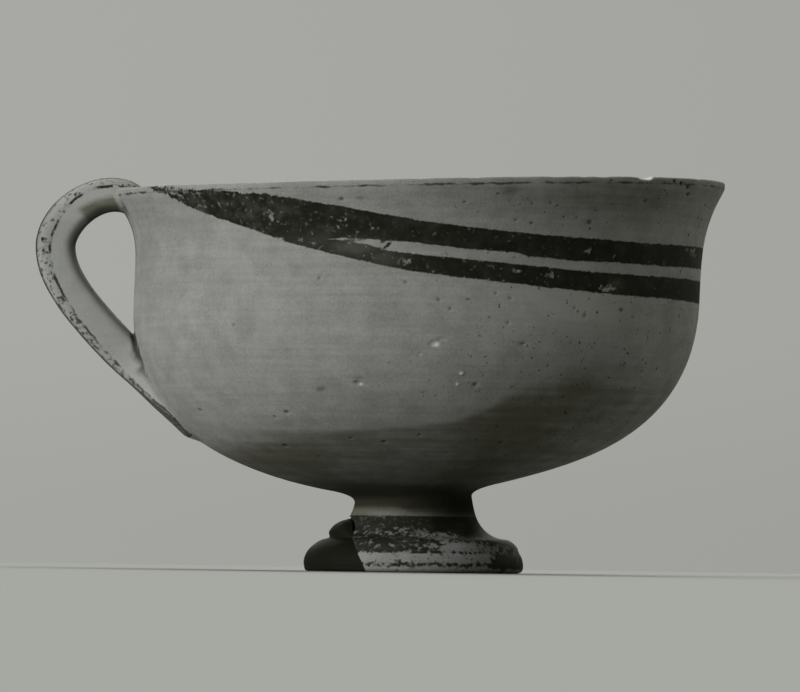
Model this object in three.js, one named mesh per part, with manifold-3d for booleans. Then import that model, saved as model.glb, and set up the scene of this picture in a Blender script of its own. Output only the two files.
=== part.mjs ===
// A wheel-thrown cup with one high-swung handle, on a low spreading foot with a modelled repair.
// Millimetres, +Z up. The foot's flat underside is at z = 0 with its centre at the origin.
// The handle lies toward -X, in the XZ plane.
import * as THREE from 'three';
import { mergeVertices } from 'three/addons/utils/BufferGeometryUtils.js';
import Module from 'manifold-3d';

const wasm = await Module();
wasm.setup();

// Foot, a disc with a rounded edge that sweeps up to the waist
const footRadius = 27.3;
const footEdgeRound = 1.7;
const footEdgeWidth = 4.3;
const footEdgeHeight = 8.4;
const waistRadius = 14.4;
const waistRise = 9.5;

// Bowl, from the waist out to the belly, then up to the turned-out lip
const bowlFootSpread = 5.6;
const bowlFootRise = 2.75;
const bowlFootSlope = 0.21;
const bellyRadius = 69.4;
const bellyRise = 45.35;
const lipTurnout = 5.35;
const lipRise = 28.5;
const lipFlareAngle = THREE.MathUtils.degToRad(27);

// Clay thickness at the bowl's floor, its wall and its lip
const floorThickness = 5.5;
const wallThickness = 3.5;
const lipThickness = 2.6;
const floorSink = 0.95;

// The bowl sits a little askew on its foot: it hangs lower on the handle's side, and its lip dips
const slumpAtWaist = 0.07;
const slumpAtLip = 0.027;
const leanAtLip = 0.6;
const lipDip = 0.7;
const lipDipSkew = 1;

// Handle, a strap that leaves the lip, turns over behind it and runs down into the lower wall
const handleReach = 24;
const handleWidth = 17;
const handleThickness = 9.8;
const handleThicknessAtLip = 8;
const handleLipSpread = 5;
const handleRootSpread = 15;
const handleRootThinning = 4.1;
const handleRise = 5.4;
const handleStartDrop = 2.6;
const handleBackDrop = 15.8;
const handleRootShare = 0.52;
const handleRootDepth = 1.7;

// The lost side of the foot, and the fill that takes its place
const breakAtBase = 12;
const breakLean = 2.6;
const breakRise = 5;
const fillGap = 0.3;
const fillFoldInset = 5;

// A chip out of the lip on the side away from the handle
const chipAngle = THREE.MathUtils.degToRad(-40.9);
const chipRadius = 3.3;
const chipDepth = 1;

const turns = 60;

// Heights and radii that follow from the sizes above
const footTopRadius = footRadius - footEdgeWidth;
const waistHeight = footEdgeHeight + waistRise;
const bowlFootRadius = waistRadius + bowlFootSpread;
const bowlFootHeight = waistHeight + bowlFootRise;
const bellyHeight = bowlFootHeight + bellyRise;
const lipRadius = bellyRadius + lipTurnout;
const lipHeight = bellyHeight + lipRise;
const breakAtTop = breakAtBase + breakLean;
const breakHeight = footEdgeHeight + breakRise;

// Clay bodies
const firedClay = new THREE.MeshStandardMaterial({ color: 0x8c8e84, roughness: 0.85, metalness: 0 });
const darkFill = new THREE.MeshStandardMaterial({ color: 0x32322c, roughness: 0.6, metalness: 0 });

function point(x, y) {
  return new THREE.Vector2(x, y);
}

// Closed solid from a geometry whose seams and poles share their vertices.
function solidOf(geometry) {
  geometry.deleteAttribute('normal');
  geometry.deleteAttribute('uv');
  const merged = mergeVertices(geometry, 1e-4);
  const vertProperties = new Float32Array(merged.attributes.position.array);
  const triVerts = new Uint32Array(merged.index.array);
  return new wasm.Manifold(new wasm.Mesh({ numProp: 3, vertProperties, triVerts }));
}

function meshOf(solid, name, material) {
  const { vertProperties, triVerts } = solid.getMesh();
  const geometry = new THREE.BufferGeometry();
  geometry.setAttribute('position', new THREE.BufferAttribute(vertProperties, 3));
  geometry.setIndex(new THREE.BufferAttribute(triVerts, 1));
  geometry.computeVertexNormals();
  const mesh = new THREE.Mesh(geometry, material);
  mesh.name = name;
  return mesh;
}

// Points along a curve without its last one, so that the next curve can carry on from there.
function along(curve, steps) {
  return curve.getPoints(steps).slice(0, -1);
}

// Solid of revolution about the Z axis. The profile is radius and height, from axis to axis.
function turned(profile) {
  const geometry = new THREE.LatheGeometry(profile, turns);
  geometry.rotateX(Math.PI / 2);
  return geometry;
}

// How far the bowl hangs down per millimetre toward the handle, by height.
function slumpAt(z) {
  const climb = (z - waistHeight) / (bellyHeight * 0.6 - waistHeight);
  const left = 1 - THREE.MathUtils.clamp(climb, 0, 1);
  const slump = THREE.MathUtils.lerp(slumpAtLip, slumpAtWaist, left ** 3);
  return slump * THREE.MathUtils.smoothstep(z, waistHeight * 0.7, waistHeight);
}

// The true place of a point of the round bowl, once it has slumped, leaned and dipped.
function settle(place) {
  const { x, y, z } = place;
  const reach = Math.hypot(x, y);
  const across = reach > 0 ? (y / reach) ** 2 * (1 - lipDipSkew * (x / reach)) : 0;
  const rise = THREE.MathUtils.smoothstep(z, bellyHeight, lipHeight);
  const dip = lipDip * across * rise * Math.min(reach / bellyRadius, 1);
  const lean = leanAtLip * THREE.MathUtils.smoothstep(z, bellyHeight * 0.8, lipHeight);
  return place.set(x + lean, y, z + slumpAt(z) * x - dip);
}

function settled(geometry) {
  const positions = geometry.attributes.position;
  const place = new THREE.Vector3();
  for (let i = 0; i < positions.count; i += 1) {
    settle(place.fromBufferAttribute(positions, i));
    positions.setXYZ(i, place.x, place.y, place.z);
  }
  return geometry;
}

// Outer curves of the cup, each going up and outward
const rollRadius = lipThickness / 2;
const rollCentre = point(lipRadius - rollRadius, lipHeight - rollRadius);
const flareDirection = point(Math.sin(lipFlareAngle), Math.cos(lipFlareAngle));
const flareEnd = point(flareDirection.y, -flareDirection.x).multiplyScalar(rollRadius).add(rollCentre);
const bowlRun = bellyRadius - bowlFootRadius;
const wallRise = flareEnd.y - bellyHeight;

const edgeRound = new THREE.QuadraticBezierCurve(
  point(footRadius - footEdgeRound, 0),
  point(footRadius, 0),
  point(footRadius, footEdgeRound),
);
const edgeShoulder = new THREE.CubicBezierCurve(
  point(footRadius, footEdgeRound),
  point(footRadius, footEdgeHeight * 0.46),
  point(footTopRadius + 2.9, footEdgeHeight - 0.6),
  point(footTopRadius, footEdgeHeight),
);
const footSweep = new THREE.CubicBezierCurve(
  point(footTopRadius, footEdgeHeight),
  point(footTopRadius - 5.6, footEdgeHeight + 0.1),
  point(waistRadius + 0.6, waistHeight - 4.3),
  point(waistRadius, waistHeight),
);
const waistTurn = new THREE.QuadraticBezierCurve(
  point(waistRadius, waistHeight),
  point(waistRadius, bowlFootHeight - (bowlFootRadius - waistRadius) * bowlFootSlope),
  point(bowlFootRadius, bowlFootHeight),
);
const bowlCurve = new THREE.CubicBezierCurve(
  point(bowlFootRadius, bowlFootHeight),
  point(bowlFootRadius + bowlRun * 0.47, bowlFootHeight + bowlRun * 0.47 * bowlFootSlope),
  point(bellyRadius, bellyHeight - bellyRise * 0.69),
  point(bellyRadius, bellyHeight),
);
const wallCurve = new THREE.CubicBezierCurve(
  point(bellyRadius, bellyHeight),
  point(bellyRadius, bellyHeight + wallRise * 0.56),
  point(flareEnd.x - flareDirection.x * wallRise * 0.34, flareEnd.y - flareDirection.y * wallRise * 0.34),
  flareEnd,
);

// The point at a depth inside the clay, square to an outer curve.
function insidePoint(curve, share, depth) {
  const tangent = curve.getTangent(share);
  const inward = point(-tangent.y, tangent.x).multiplyScalar(depth);
  return curve.getPoint(share).add(inward);
}

// Points on the inner side of an outer curve, from its top down.
function innerSide(curve, steps, thicknessAt) {
  const points = [];
  for (let i = steps; i >= 0; i -= 1) {
    points.push(insidePoint(curve, i / steps, thicknessAt(i / steps)));
  }
  return points;
}

// Inner face of the bowl from the lip down to the middle of its floor. A share of 1 is the full
// clay thickness, and less gives a face inside the clay.
function insideOfBowl(share) {
  const wall = (along) => share * THREE.MathUtils.lerp(wallThickness, lipThickness, along);
  const bowl = (along) => share * THREE.MathUtils.lerp(floorThickness, wallThickness, Math.min(along * 2.5, 1));
  const upper = innerSide(wallCurve, 6, wall);
  const lower = innerSide(bowlCurve, 11, bowl);
  const foot = lower[lower.length - 1];
  const middle = bowlFootHeight - floorSink + share * floorThickness;
  const floor = new THREE.CubicBezierCurve(
    foot,
    point(foot.x * 0.65, foot.y - foot.x * 0.35 * bowlFootSlope),
    point(foot.x * 0.5, middle),
    point(0, middle),
  );
  return [...upper, ...lower.slice(1, -1), ...floor.getPoints(3)];
}

// The thrown wall, foot and bowl in one
function thrownCup() {
  const roll = new THREE.EllipseCurve(
    rollCentre.x,
    rollCentre.y,
    rollRadius,
    rollRadius,
    -lipFlareAngle,
    Math.PI - lipFlareAngle,
  );
  const profile = [
    point(0, 0),
    ...along(edgeRound, 3),
    ...along(edgeShoulder, 4),
    ...along(footSweep, 6),
    ...along(waistTurn, 3),
    ...along(bowlCurve, 12),
    ...along(wallCurve, 7),
    ...along(roll, 5),
    ...insideOfBowl(1),
  ];
  return solidOf(settled(turned(profile)));
}

// What lies inside the middle of the wall, and the air above it. The handle stops there.
function insideWall() {
  const face = insideOfBowl(0.5).reverse();
  const top = face[face.length - 1];
  const above = lipHeight + handleThickness;
  const profile = [...face, point(top.x, above), point(0, above)];
  return solidOf(settled(turned(profile)));
}

// Centre line of the handle, from within the lip to within the lower wall
function handlePath() {
  const back = -(bellyRadius + handleReach - handleThickness / 2);
  const lipSide = settle(new THREE.Vector3(-lipRadius, 0, lipHeight));
  const start = new THREE.Vector3(lipSide.x + lipThickness * 2, 0, lipSide.z - handleStartDrop);
  const turn = new THREE.Vector3(back, 0, lipHeight - handleBackDrop);
  const root = insidePoint(bowlCurve, handleRootShare, handleRootDepth);
  const end = settle(new THREE.Vector3(-root.x, 0, root.y));
  const drop = turn.z - end.z;
  const path = new THREE.CurvePath();
  path.add(new THREE.CubicBezierCurve3(
    start,
    new THREE.Vector3(start.x + (back - start.x) * 0.466, 0, start.z + handleRise),
    new THREE.Vector3(back, 0, start.z - handleRise * 0.82),
    turn,
  ));
  path.add(new THREE.CubicBezierCurve3(
    turn,
    new THREE.Vector3(back, 0, turn.z - drop * 0.28),
    new THREE.Vector3(end.x + (back - end.x) * 0.51, 0, end.z + drop * 0.45),
    end,
  ));
  return path;
}

// The handle's strap: a rounded slab led along its path, spread where it meets the wall
function handleStrap() {
  const path = handlePath();
  const geometry = new THREE.CylinderGeometry(1, 1, 1, 16, 26);
  const positions = geometry.attributes.position;
  for (let i = 0; i < positions.count; i += 1) {
    const share = 0.5 - positions.getY(i);
    const side = positions.getZ(i);
    const out = positions.getX(i);
    const squared = (value) => Math.sign(value) * Math.abs(value) ** 0.85;
    const nearLip = 1 - THREE.MathUtils.smoothstep(share, 0, 0.3);
    const nearRoot = THREE.MathUtils.smoothstep(share, 0.66, 1);
    const halfWidth = (handleWidth + handleLipSpread * nearLip + handleRootSpread * nearRoot) / 2;
    const thickness = THREE.MathUtils.lerp(handleThickness, handleThicknessAtLip, nearLip);
    const halfThickness = (thickness - handleRootThinning * nearRoot) / 2;
    const centre = path.getPointAt(share);
    const ahead = path.getTangentAt(share);
    const outward = new THREE.Vector3(-ahead.z, 0, ahead.x).negate();
    const place = centre.addScaledVector(outward, squared(out) * halfThickness);
    positions.setXYZ(i, place.x, squared(side) * halfWidth, place.z);
  }
  return solidOf(geometry);
}

// A slab across the whole foot, beyond the break. A gap draws it back from the break's faces.
function beyondBreak(gap) {
  const far = footRadius * 2;
  const outline = new THREE.Shape([
    point(-breakAtBase - gap, -footEdgeRound),
    point(-breakAtBase - gap, 0),
    point(-breakAtTop - gap, breakHeight - gap),
    point(-far, breakHeight - gap),
    point(-far, -footEdgeRound),
  ]);
  const geometry = new THREE.ExtrudeGeometry(outline, { depth: far * 2, bevelEnabled: false });
  geometry.rotateX(Math.PI / 2);
  geometry.translate(0, far, 0);
  return solidOf(geometry);
}

// The chip's hollow, a ball that dips into the lip's crest
function lipChip() {
  const crest = new THREE.Vector3(
    rollCentre.x * Math.cos(chipAngle),
    rollCentre.x * Math.sin(chipAngle),
    lipHeight,
  );
  const centre = settle(crest);
  const geometry = new THREE.IcosahedronGeometry(chipRadius, 1);
  geometry.translate(centre.x, centre.y, centre.z + chipRadius - chipDepth);
  return solidOf(geometry);
}

// Two rounded rolls of filler, the upper one drawn in over the lower, in place of the lost clay
function footFill() {
  const foldRadius = footRadius - fillFoldInset;
  const lowerRoll = new THREE.CubicBezierCurve(
    point(footRadius - footEdgeRound, 0),
    point(footRadius + 1.4, 0.4),
    point(footRadius + 0.4, footEdgeHeight - 0.5),
    point(foldRadius, footEdgeHeight),
  );
  const upperRoll = new THREE.CubicBezierCurve(
    point(foldRadius, footEdgeHeight),
    point(foldRadius - 1.4, breakHeight - 3),
    point(breakAtTop + 4, breakHeight - 1.4),
    point(breakAtTop, breakHeight),
  );
  const profile = [
    point(0, 0),
    ...along(lowerRoll, 8),
    ...upperRoll.getPoints(6),
    point(0, breakHeight),
  ];
  return solidOf(turned(profile)).intersect(beyondBreak(fillGap));
}

const handle = handleStrap().subtract(insideWall());
const cup = thrownCup().add(handle).subtract(lipChip()).subtract(beyondBreak(0));

const object = new THREE.Group();
object.add(meshOf(cup, 'cup', firedClay));
object.add(meshOf(footFill(), 'foot_repair', darkFill));

export default object;
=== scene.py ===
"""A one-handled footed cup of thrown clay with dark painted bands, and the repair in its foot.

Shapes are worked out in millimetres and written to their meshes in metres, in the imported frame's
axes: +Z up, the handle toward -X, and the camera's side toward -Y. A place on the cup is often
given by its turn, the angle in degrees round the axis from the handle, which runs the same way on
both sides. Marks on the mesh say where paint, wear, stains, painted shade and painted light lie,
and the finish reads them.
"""

import logging
import math
from dataclasses import dataclass
from enum import Enum

import bmesh
import bpy
import numpy as np
from mathutils import Matrix, Vector
from mathutils.bvhtree import BVHTree


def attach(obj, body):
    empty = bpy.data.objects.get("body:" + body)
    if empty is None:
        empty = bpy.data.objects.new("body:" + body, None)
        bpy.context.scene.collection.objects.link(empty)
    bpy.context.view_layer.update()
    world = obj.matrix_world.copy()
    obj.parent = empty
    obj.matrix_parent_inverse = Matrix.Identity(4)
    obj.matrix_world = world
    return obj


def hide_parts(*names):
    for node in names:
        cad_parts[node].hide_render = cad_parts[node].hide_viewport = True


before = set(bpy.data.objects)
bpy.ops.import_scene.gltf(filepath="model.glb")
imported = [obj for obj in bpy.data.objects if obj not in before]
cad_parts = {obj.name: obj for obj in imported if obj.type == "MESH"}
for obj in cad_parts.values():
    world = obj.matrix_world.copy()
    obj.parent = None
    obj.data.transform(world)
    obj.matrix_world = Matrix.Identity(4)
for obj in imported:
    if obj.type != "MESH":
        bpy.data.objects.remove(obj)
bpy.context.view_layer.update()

log = logging.getLogger("cup")

MM = 0.001

# A number too small to matter, the shortest edge that is kept, and a depth far outside any paint.
TINY = 1e-9
WELD = 1e-5
OFF_PAINT = -9.0

# Faces that meet more sharply than this show an edge.
CREASE_ANGLE = math.radians(48)

Socket = bpy.types.NodeSocket


# Numbers and curves


def clamp(value: np.ndarray, low: float, high: float) -> np.ndarray:
    """Returns the values held between two limits."""
    return np.clip(value, low, high)


def smoothstep(value: np.ndarray, low: float, high: float) -> np.ndarray:
    """Returns 0 below low, 1 above high, and a smooth climb between."""
    share = np.clip((np.asarray(value, float) - low) / (high - low), 0, 1)
    return share * share * (3 - 2 * share)


def lerp(start: float, end: float, share: np.ndarray) -> np.ndarray:
    """Returns the value at a share of the way from start to end."""
    return start + (end - start) * share


def bezier(controls: list[tuple[float, ...]], steps: int) -> np.ndarray:
    """Points along a Bezier curve.

    Args:
        controls: the control points, with as many as the curve's degree and one more.
        steps: how many equal steps of the curve's parameter to take.

    Returns:
        One row per point, both ends among them.
    """
    share = np.linspace(0, 1, steps + 1)[:, None]
    points = [np.repeat(np.asarray(c, float)[None], steps + 1, axis=0) for c in controls]
    while len(points) > 1:
        points = [lerp(a, b, share) for a, b in zip(points, points[1:])]
    return points[0]


def tangents(points: np.ndarray) -> np.ndarray:
    """Returns the unit direction of a fine line of points at each of them."""
    steps = np.gradient(points, axis=0, edge_order=2)
    return steps / np.linalg.norm(steps, axis=1, keepdims=True)


def lengths_along(points: np.ndarray) -> np.ndarray:
    """Returns how far along a line of points each of them lies."""
    steps = np.linalg.norm(np.diff(points, axis=0), axis=1)
    return np.concatenate([[0.0], np.cumsum(steps)])


def bump_at(across: np.ndarray, up: np.ndarray, width: float, height: float) -> np.ndarray:
    """Returns a soft hill of height 1, by the distances from its middle and its two radii."""
    return np.exp(-((across / width) ** 2) - (up / height) ** 2)


# Node trees


@dataclass(frozen=True)
class Noise:
    """One noise of a finish: its waves in a millimetre, seed, finer layers and stretch."""

    scale: float
    seed: float
    detail: float = 2.0
    stretch: tuple[float, float, float] | None = None


class Wiring:
    """Adds nodes to one node tree and joins them."""

    def __init__(self, tree: bpy.types.NodeTree) -> None:
        """Keeps the tree that the nodes go into."""
        self.tree = tree

    def node(self, kind: str, feeds: dict | None = None, **settings: object) -> bpy.types.Node:
        """Adds one node.

        Args:
            kind: the node's type.
            feeds: socket name or number to a plain value, or to the socket that feeds it.
            settings: the node's own settings, such as its operation.

        Returns:
            The new node.
        """
        made = self.tree.nodes.new(kind)
        for name, value in settings.items():
            setattr(made, name, value)
        for name, value in (feeds or {}).items():
            self.feed(made.inputs[name], value)
        return made

    def feed(self, socket: Socket, value: object) -> None:
        """Links a socket to another one, or sets its own value."""
        if isinstance(value, bpy.types.NodeSocket):
            self.tree.links.new(value, socket)
        else:
            socket.default_value = value

    def math(self, operation: str, *values: object) -> Socket:
        """Returns the result of a Math node on up to three values."""
        return self.node("ShaderNodeMath", dict(enumerate(values)), operation=operation).outputs[0]

    def add(self, *values: object) -> Socket:
        """Returns the sum of the values."""
        total = values[0]
        for value in values[1:]:
            total = self.math("ADD", total, value)
        return total

    def times(self, *values: object) -> Socket:
        """Returns the product of the values."""
        total = values[0]
        for value in values[1:]:
            total = self.math("MULTIPLY", total, value)
        return total

    def less(self, first: object, second: object) -> Socket:
        """Returns first less second."""
        return self.math("SUBTRACT", first, second)

    def rest_of(self, share: object) -> Socket:
        """Returns one less the share."""
        return self.math("SUBTRACT", 1.0, share)

    def climb(self, value: object, low: object, high: object) -> Socket:
        """Returns a smooth climb from 0 at low to 1 at high."""
        feeds = {"Value": value, "From Min": low, "From Max": high}
        return self.node("ShaderNodeMapRange", feeds, interpolation_type="SMOOTHSTEP").outputs[0]

    def vector(self, operation: str, *values: object) -> Socket:
        """Returns the vector that a Vector Math node makes of its first inputs."""
        made = self.node("ShaderNodeVectorMath", dict(enumerate(values)), operation=operation)
        return made.outputs["Vector"]

    def scaled(self, vector: Socket, factor: object) -> Socket:
        """Returns a vector times a number."""
        feeds = {0: vector, "Scale": factor}
        return self.node("ShaderNodeVectorMath", feeds, operation="SCALE").outputs["Vector"]

    def combined(self, x: object, y: object, z: object) -> Socket:
        """Returns the vector of three numbers."""
        return self.node("ShaderNodeCombineXYZ", {0: x, 1: y, 2: z}).outputs[0]

    def noise(self, vector: Socket, scale: object, seed: object, detail: float = 2.0) -> Socket:
        """Returns noise from 0 to 1.

        Args:
            vector: where to read it.
            scale: how many of its waves lie in one unit.
            seed: a fixed number that gives this noise its own shape.
            detail: how many finer layers it has.
        """
        feeds = {"Vector": vector, "Scale": scale, "W": seed, "Detail": detail}
        made = self.node("ShaderNodeTexNoise", feeds, noise_dimensions="4D")
        return made.outputs[0]

    def read(self, place: Socket, noise: Noise) -> Socket:
        """Returns a noise of a finish at a place in millimetres."""
        if noise.stretch:
            place = self.vector("MULTIPLY", place, noise.stretch)
        return self.noise(place, noise.scale, noise.seed, noise.detail)

    def mixed(self, share: object, first: object, second: object) -> Socket:
        """Returns a colour between two, first at 0 and second at 1."""
        made = self.node("ShaderNodeMix", data_type="RGBA", clamp_factor=True)
        self.feed(made.inputs[0], share)
        self.feed(made.inputs[6], first)
        self.feed(made.inputs[7], second)
        return made.outputs[2]

    def marked(self, name: str) -> Socket:
        """Returns a named attribute of the surface that a material is on."""
        return self.node("ShaderNodeAttribute", attribute_name=name).outputs["Fac"]

    def show(
        self,
        colour: Socket,
        rough: Socket,
        gloss: object,
        height: Socket,
        strength: float,
        relief: float,
    ) -> None:
        """Ends a material in a shader.

        Args:
            colour: the surface's colour.
            rough: its roughness.
            gloss: its specular level.
            height: its fine relief, from 0 to 1.
            strength: how strongly the relief shows.
            relief: how deep it is, in millimetres.
        """
        bump = self.node(
            "ShaderNodeBump", {"Strength": strength, "Distance": relief * MM, "Height": height}
        )
        feeds = {
            "Base Color": colour,
            "Roughness": rough,
            "Specular IOR Level": gloss,
            "Normal": bump.outputs[0],
        }
        shader = self.node("ShaderNodeBsdfPrincipled", feeds)
        self.node("ShaderNodeOutputMaterial", {0: shader.outputs[0]})


class GrowthTree:
    """A Geometry Nodes tree that leads a grid along a guide line, with named inputs."""

    SOCKETS = {
        "Columns": ("NodeSocketInt", 64),
        "Rows": ("NodeSocketInt", 64),
        "Ridge Height": ("NodeSocketFloat", 0.0),
        "Ridge Pitch": ("NodeSocketFloat", 3.0),
        "Unevenness": ("NodeSocketFloat", 0.0),
        "Unevenness Size": ("NodeSocketFloat", 30.0),
        "Seed": ("NodeSocketFloat", 0.0),
        "Finish": ("NodeSocketMaterial", None),
    }

    # How high the noise comes, how far apart the rings' noise is read round the axis, the step from
    # the unevenness's seed to theirs, and how near points merge.
    PEAK = 0.8
    RING_REACH = 0.7
    RING_SEED = 5.0
    MERGE = 0.001

    def __init__(self, name: str) -> None:
        """Makes the tree, its named inputs and the grid that every such tree starts from."""
        self.tree = bpy.data.node_groups.new(name, "GeometryNodeTree")
        face = self.tree.interface
        face.new_socket("Geometry", in_out="INPUT", socket_type="NodeSocketGeometry")
        for title, (kind, value) in self.SOCKETS.items():
            socket = face.new_socket(title, in_out="INPUT", socket_type=kind)
            if value is not None:
                socket.default_value = value
        face.new_socket("Geometry", in_out="OUTPUT", socket_type="NodeSocketGeometry")
        self.wires = Wiring(self.tree)
        self.given = self.wires.node("NodeGroupInput").outputs
        self.start()

    def start(self) -> None:
        """Adds the grid, and the angle and the guide's row of each of its points."""
        w = self.wires
        columns = w.add(self.given["Columns"], 1.0)
        feeds = {
            "Size X": 1.0, "Size Y": 1.0, "Vertices X": columns, "Vertices Y": self.given["Rows"]
        }
        self.grid = w.node("GeometryNodeMeshGrid", feeds).outputs["Mesh"]
        place = w.node("ShaderNodeSeparateXYZ", {0: w.node("GeometryNodeInputPosition").outputs[0]})
        angle = w.times(w.add(place.outputs[0], 0.5), math.tau)
        self.cosine = w.math("COSINE", angle)
        self.sine = w.math("SINE", angle)
        last = w.less(self.given["Rows"], 1.0)
        self.row = w.math("ROUND", w.times(w.add(place.outputs[1], 0.5), last))

    def on_guide(self, name: str, kind: str = "FLOAT") -> Socket:
        """Returns what the guide holds at a grid point's row.

        Args:
            name: the guide's attribute, or "position".
            kind: its data type.
        """
        w = self.wires
        if name == "position":
            value = w.node("GeometryNodeInputPosition").outputs[0]
        else:
            named = w.node("GeometryNodeInputNamedAttribute", {"Name": name}, data_type=kind)
            value = named.outputs[0]
        sample = w.node("GeometryNodeSampleIndex", data_type=kind, domain="POINT")
        w.feed(sample.inputs["Geometry"], self.given["Geometry"])
        w.feed(sample.inputs["Value"], value)
        w.feed(sample.inputs["Index"], self.row)
        return sample.outputs[0]

    def sunk(self, where: Socket, ridges: Socket | None) -> Socket:
        """Returns how far a point is pushed out, which is never above 0, so that no size grows.

        Args:
            where: the place that the unevenness is read at, in millimetres.
            ridges: how strong the ridges are, or None where there are none.
        """
        w = self.wires
        scale = w.math("DIVIDE", 1.0, self.given["Unevenness Size"])
        wave = w.less(w.noise(where, scale, self.given["Seed"], 1.0), self.PEAK)
        push = w.times(wave, self.given["Unevenness"])
        if ridges is not None:
            fineness = w.math("DIVIDE", 1.0, self.given["Ridge Pitch"])
            around = w.times(self.on_guide("reach"), fineness)
            across = w.times(self.cosine, self.RING_REACH)
            drawn = w.combined(across, w.times(self.sine, self.RING_REACH), around)
            seed = w.add(self.given["Seed"], self.RING_SEED)
            rings = w.less(w.noise(drawn, 1.0, seed, 2.0), self.PEAK)
            push = w.add(push, w.times(rings, self.given["Ridge Height"], ridges))
        return w.math("MINIMUM", push, 0.0)

    def end(self, places: Socket) -> bpy.types.NodeTree:
        """Moves the grid's points to their places, closes its seam and poles, and ends the tree.

        Args:
            places: the position of each point.

        Returns:
            The finished tree.
        """
        w = self.wires
        moved = w.node("GeometryNodeSetPosition", {"Geometry": self.grid, "Position": places})
        feeds = {"Geometry": moved.outputs[0], "Distance": self.MERGE}
        merged = w.node("GeometryNodeMergeByDistance", feeds)
        real = w.node("GeometryNodeRealizeInstances", {"Geometry": merged.outputs[0]})
        dressed = w.node("GeometryNodeSetMaterial", {"Geometry": real.outputs[0]})
        w.feed(dressed.inputs["Material"], self.given["Finish"])
        w.node("NodeGroupOutput", {0: dressed.outputs[0]})
        return self.tree


def turning_tree() -> bpy.types.NodeTree:
    """Returns the tree that turns a profile of radius and height round the Z axis."""
    grown = GrowthTree("turned_clay")
    w = grown.wires
    profile = w.node("ShaderNodeSeparateXYZ", {0: grown.on_guide("position", "FLOAT_VECTOR")})
    facing = w.node("ShaderNodeSeparateXYZ", {0: grown.on_guide("facing", "FLOAT_VECTOR")})
    radius, height = profile.outputs[0], profile.outputs[2]
    where = w.combined(w.times(radius, grown.cosine), w.times(radius, grown.sine), height)
    push = w.times(grown.sunk(where, grown.on_guide("ridges")), grown.on_guide("give"))
    reach = w.add(radius, w.times(push, facing.outputs[0]))
    level = w.add(height, w.times(push, facing.outputs[2]))
    return grown.end(w.combined(w.times(reach, grown.cosine), w.times(reach, grown.sine), level))


def strap_tree() -> bpy.types.NodeTree:
    """Returns the tree that leads a rounded slab along a path in the XZ plane."""
    grown = GrowthTree("pulled_strap")
    w = grown.wires
    squareness, unevenness = 0.44, 0.2

    def squared(value: Socket) -> Socket:
        """Returns the value with its size raised to the slab's squareness."""
        size = w.math("MAXIMUM", w.less(w.math("ABSOLUTE", value), WELD), 0.0)
        return w.times(w.math("POWER", size, squareness), w.math("SIGN", value))

    def slab_point(out: Socket, side: Socket) -> Socket:
        """Returns the point so far outward of the path and so far to its side."""
        place = w.vector("ADD", centre, w.scaled(outward, out))
        return w.vector("ADD", place, w.combined(0.0, side, 0.0))

    centre = grown.on_guide("position", "FLOAT_VECTOR")
    outward = grown.on_guide("facing", "FLOAT_VECTOR")
    out = w.times(squared(grown.cosine), grown.on_guide("half_thickness"))
    side = w.times(squared(grown.sine), grown.on_guide("half_width"))
    where = slab_point(out, side)
    push = w.add(1.0, w.times(grown.sunk(where, None), grown.on_guide("give"), unevenness))
    return grown.end(slab_point(w.times(out, push), w.times(side, push)))


# Meshes


def mesh_of(
    name: str, points: np.ndarray, faces: list[tuple[int, ...]], edges: list | None = None
) -> bpy.types.Mesh:
    """Returns a new mesh from its points and faces."""
    mesh = bpy.data.meshes.new(name)
    mesh.from_pydata([tuple(p) for p in points], edges or [], faces)
    return mesh


def placed(name: str, mesh: bpy.types.Mesh) -> bpy.types.Object:
    """Returns a new object at the origin that shows a mesh."""
    made = bpy.data.objects.new(name, mesh)
    bpy.context.scene.collection.objects.link(made)
    return made


def dropped(*objects: bpy.types.Object) -> None:
    """Removes helper objects from the scene."""
    for thing in objects:
        bpy.data.objects.remove(thing)


def places_in(mesh: bpy.types.Mesh) -> np.ndarray:
    """Returns a mesh's points, one row each."""
    flat = np.zeros(len(mesh.vertices) * 3)
    mesh.vertices.foreach_get("co", flat)
    return flat.reshape(-1, 3)


def facings_in(mesh: bpy.types.Mesh) -> np.ndarray:
    """Returns the outward direction at each of a mesh's points."""
    flat = np.zeros(len(mesh.vertices) * 3)
    mesh.vertices.foreach_get("normal", flat)
    return flat.reshape(-1, 3)


def set_places(mesh: bpy.types.Mesh, points: np.ndarray) -> None:
    """Moves a mesh's points."""
    mesh.vertices.foreach_set("co", points.astype(np.float32).ravel())
    mesh.update()


def set_marks(mesh: bpy.types.Mesh, name: str, values: np.ndarray) -> None:
    """Writes one number per point as a named attribute that a material can read."""
    layer = mesh.attributes.get(name) or mesh.attributes.new(name, "FLOAT", "POINT")
    layer.data.foreach_set("value", np.asarray(values, np.float32))


def baked(guide: bpy.types.Object) -> bpy.types.Mesh:
    """Returns the plain mesh that an object's modifiers make, and takes the modifiers off."""
    graph = bpy.context.evaluated_depsgraph_get()
    mesh = bpy.data.meshes.new_from_object(guide.evaluated_get(graph))
    guide.modifiers.clear()
    return mesh


def face_outwards(mesh: bpy.types.Mesh) -> None:
    """Turns a closed mesh's faces outwards, once its smallest edges are dissolved."""
    shape = bmesh.new()
    shape.from_mesh(mesh)
    bmesh.ops.dissolve_degenerate(shape, dist=WELD, edges=shape.edges)
    bmesh.ops.recalc_face_normals(shape, faces=shape.faces)
    if shape.calc_volume(signed=True) < 0:
        bmesh.ops.reverse_faces(shape, faces=shape.faces)
    shape.to_mesh(mesh)
    shape.free()


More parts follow.
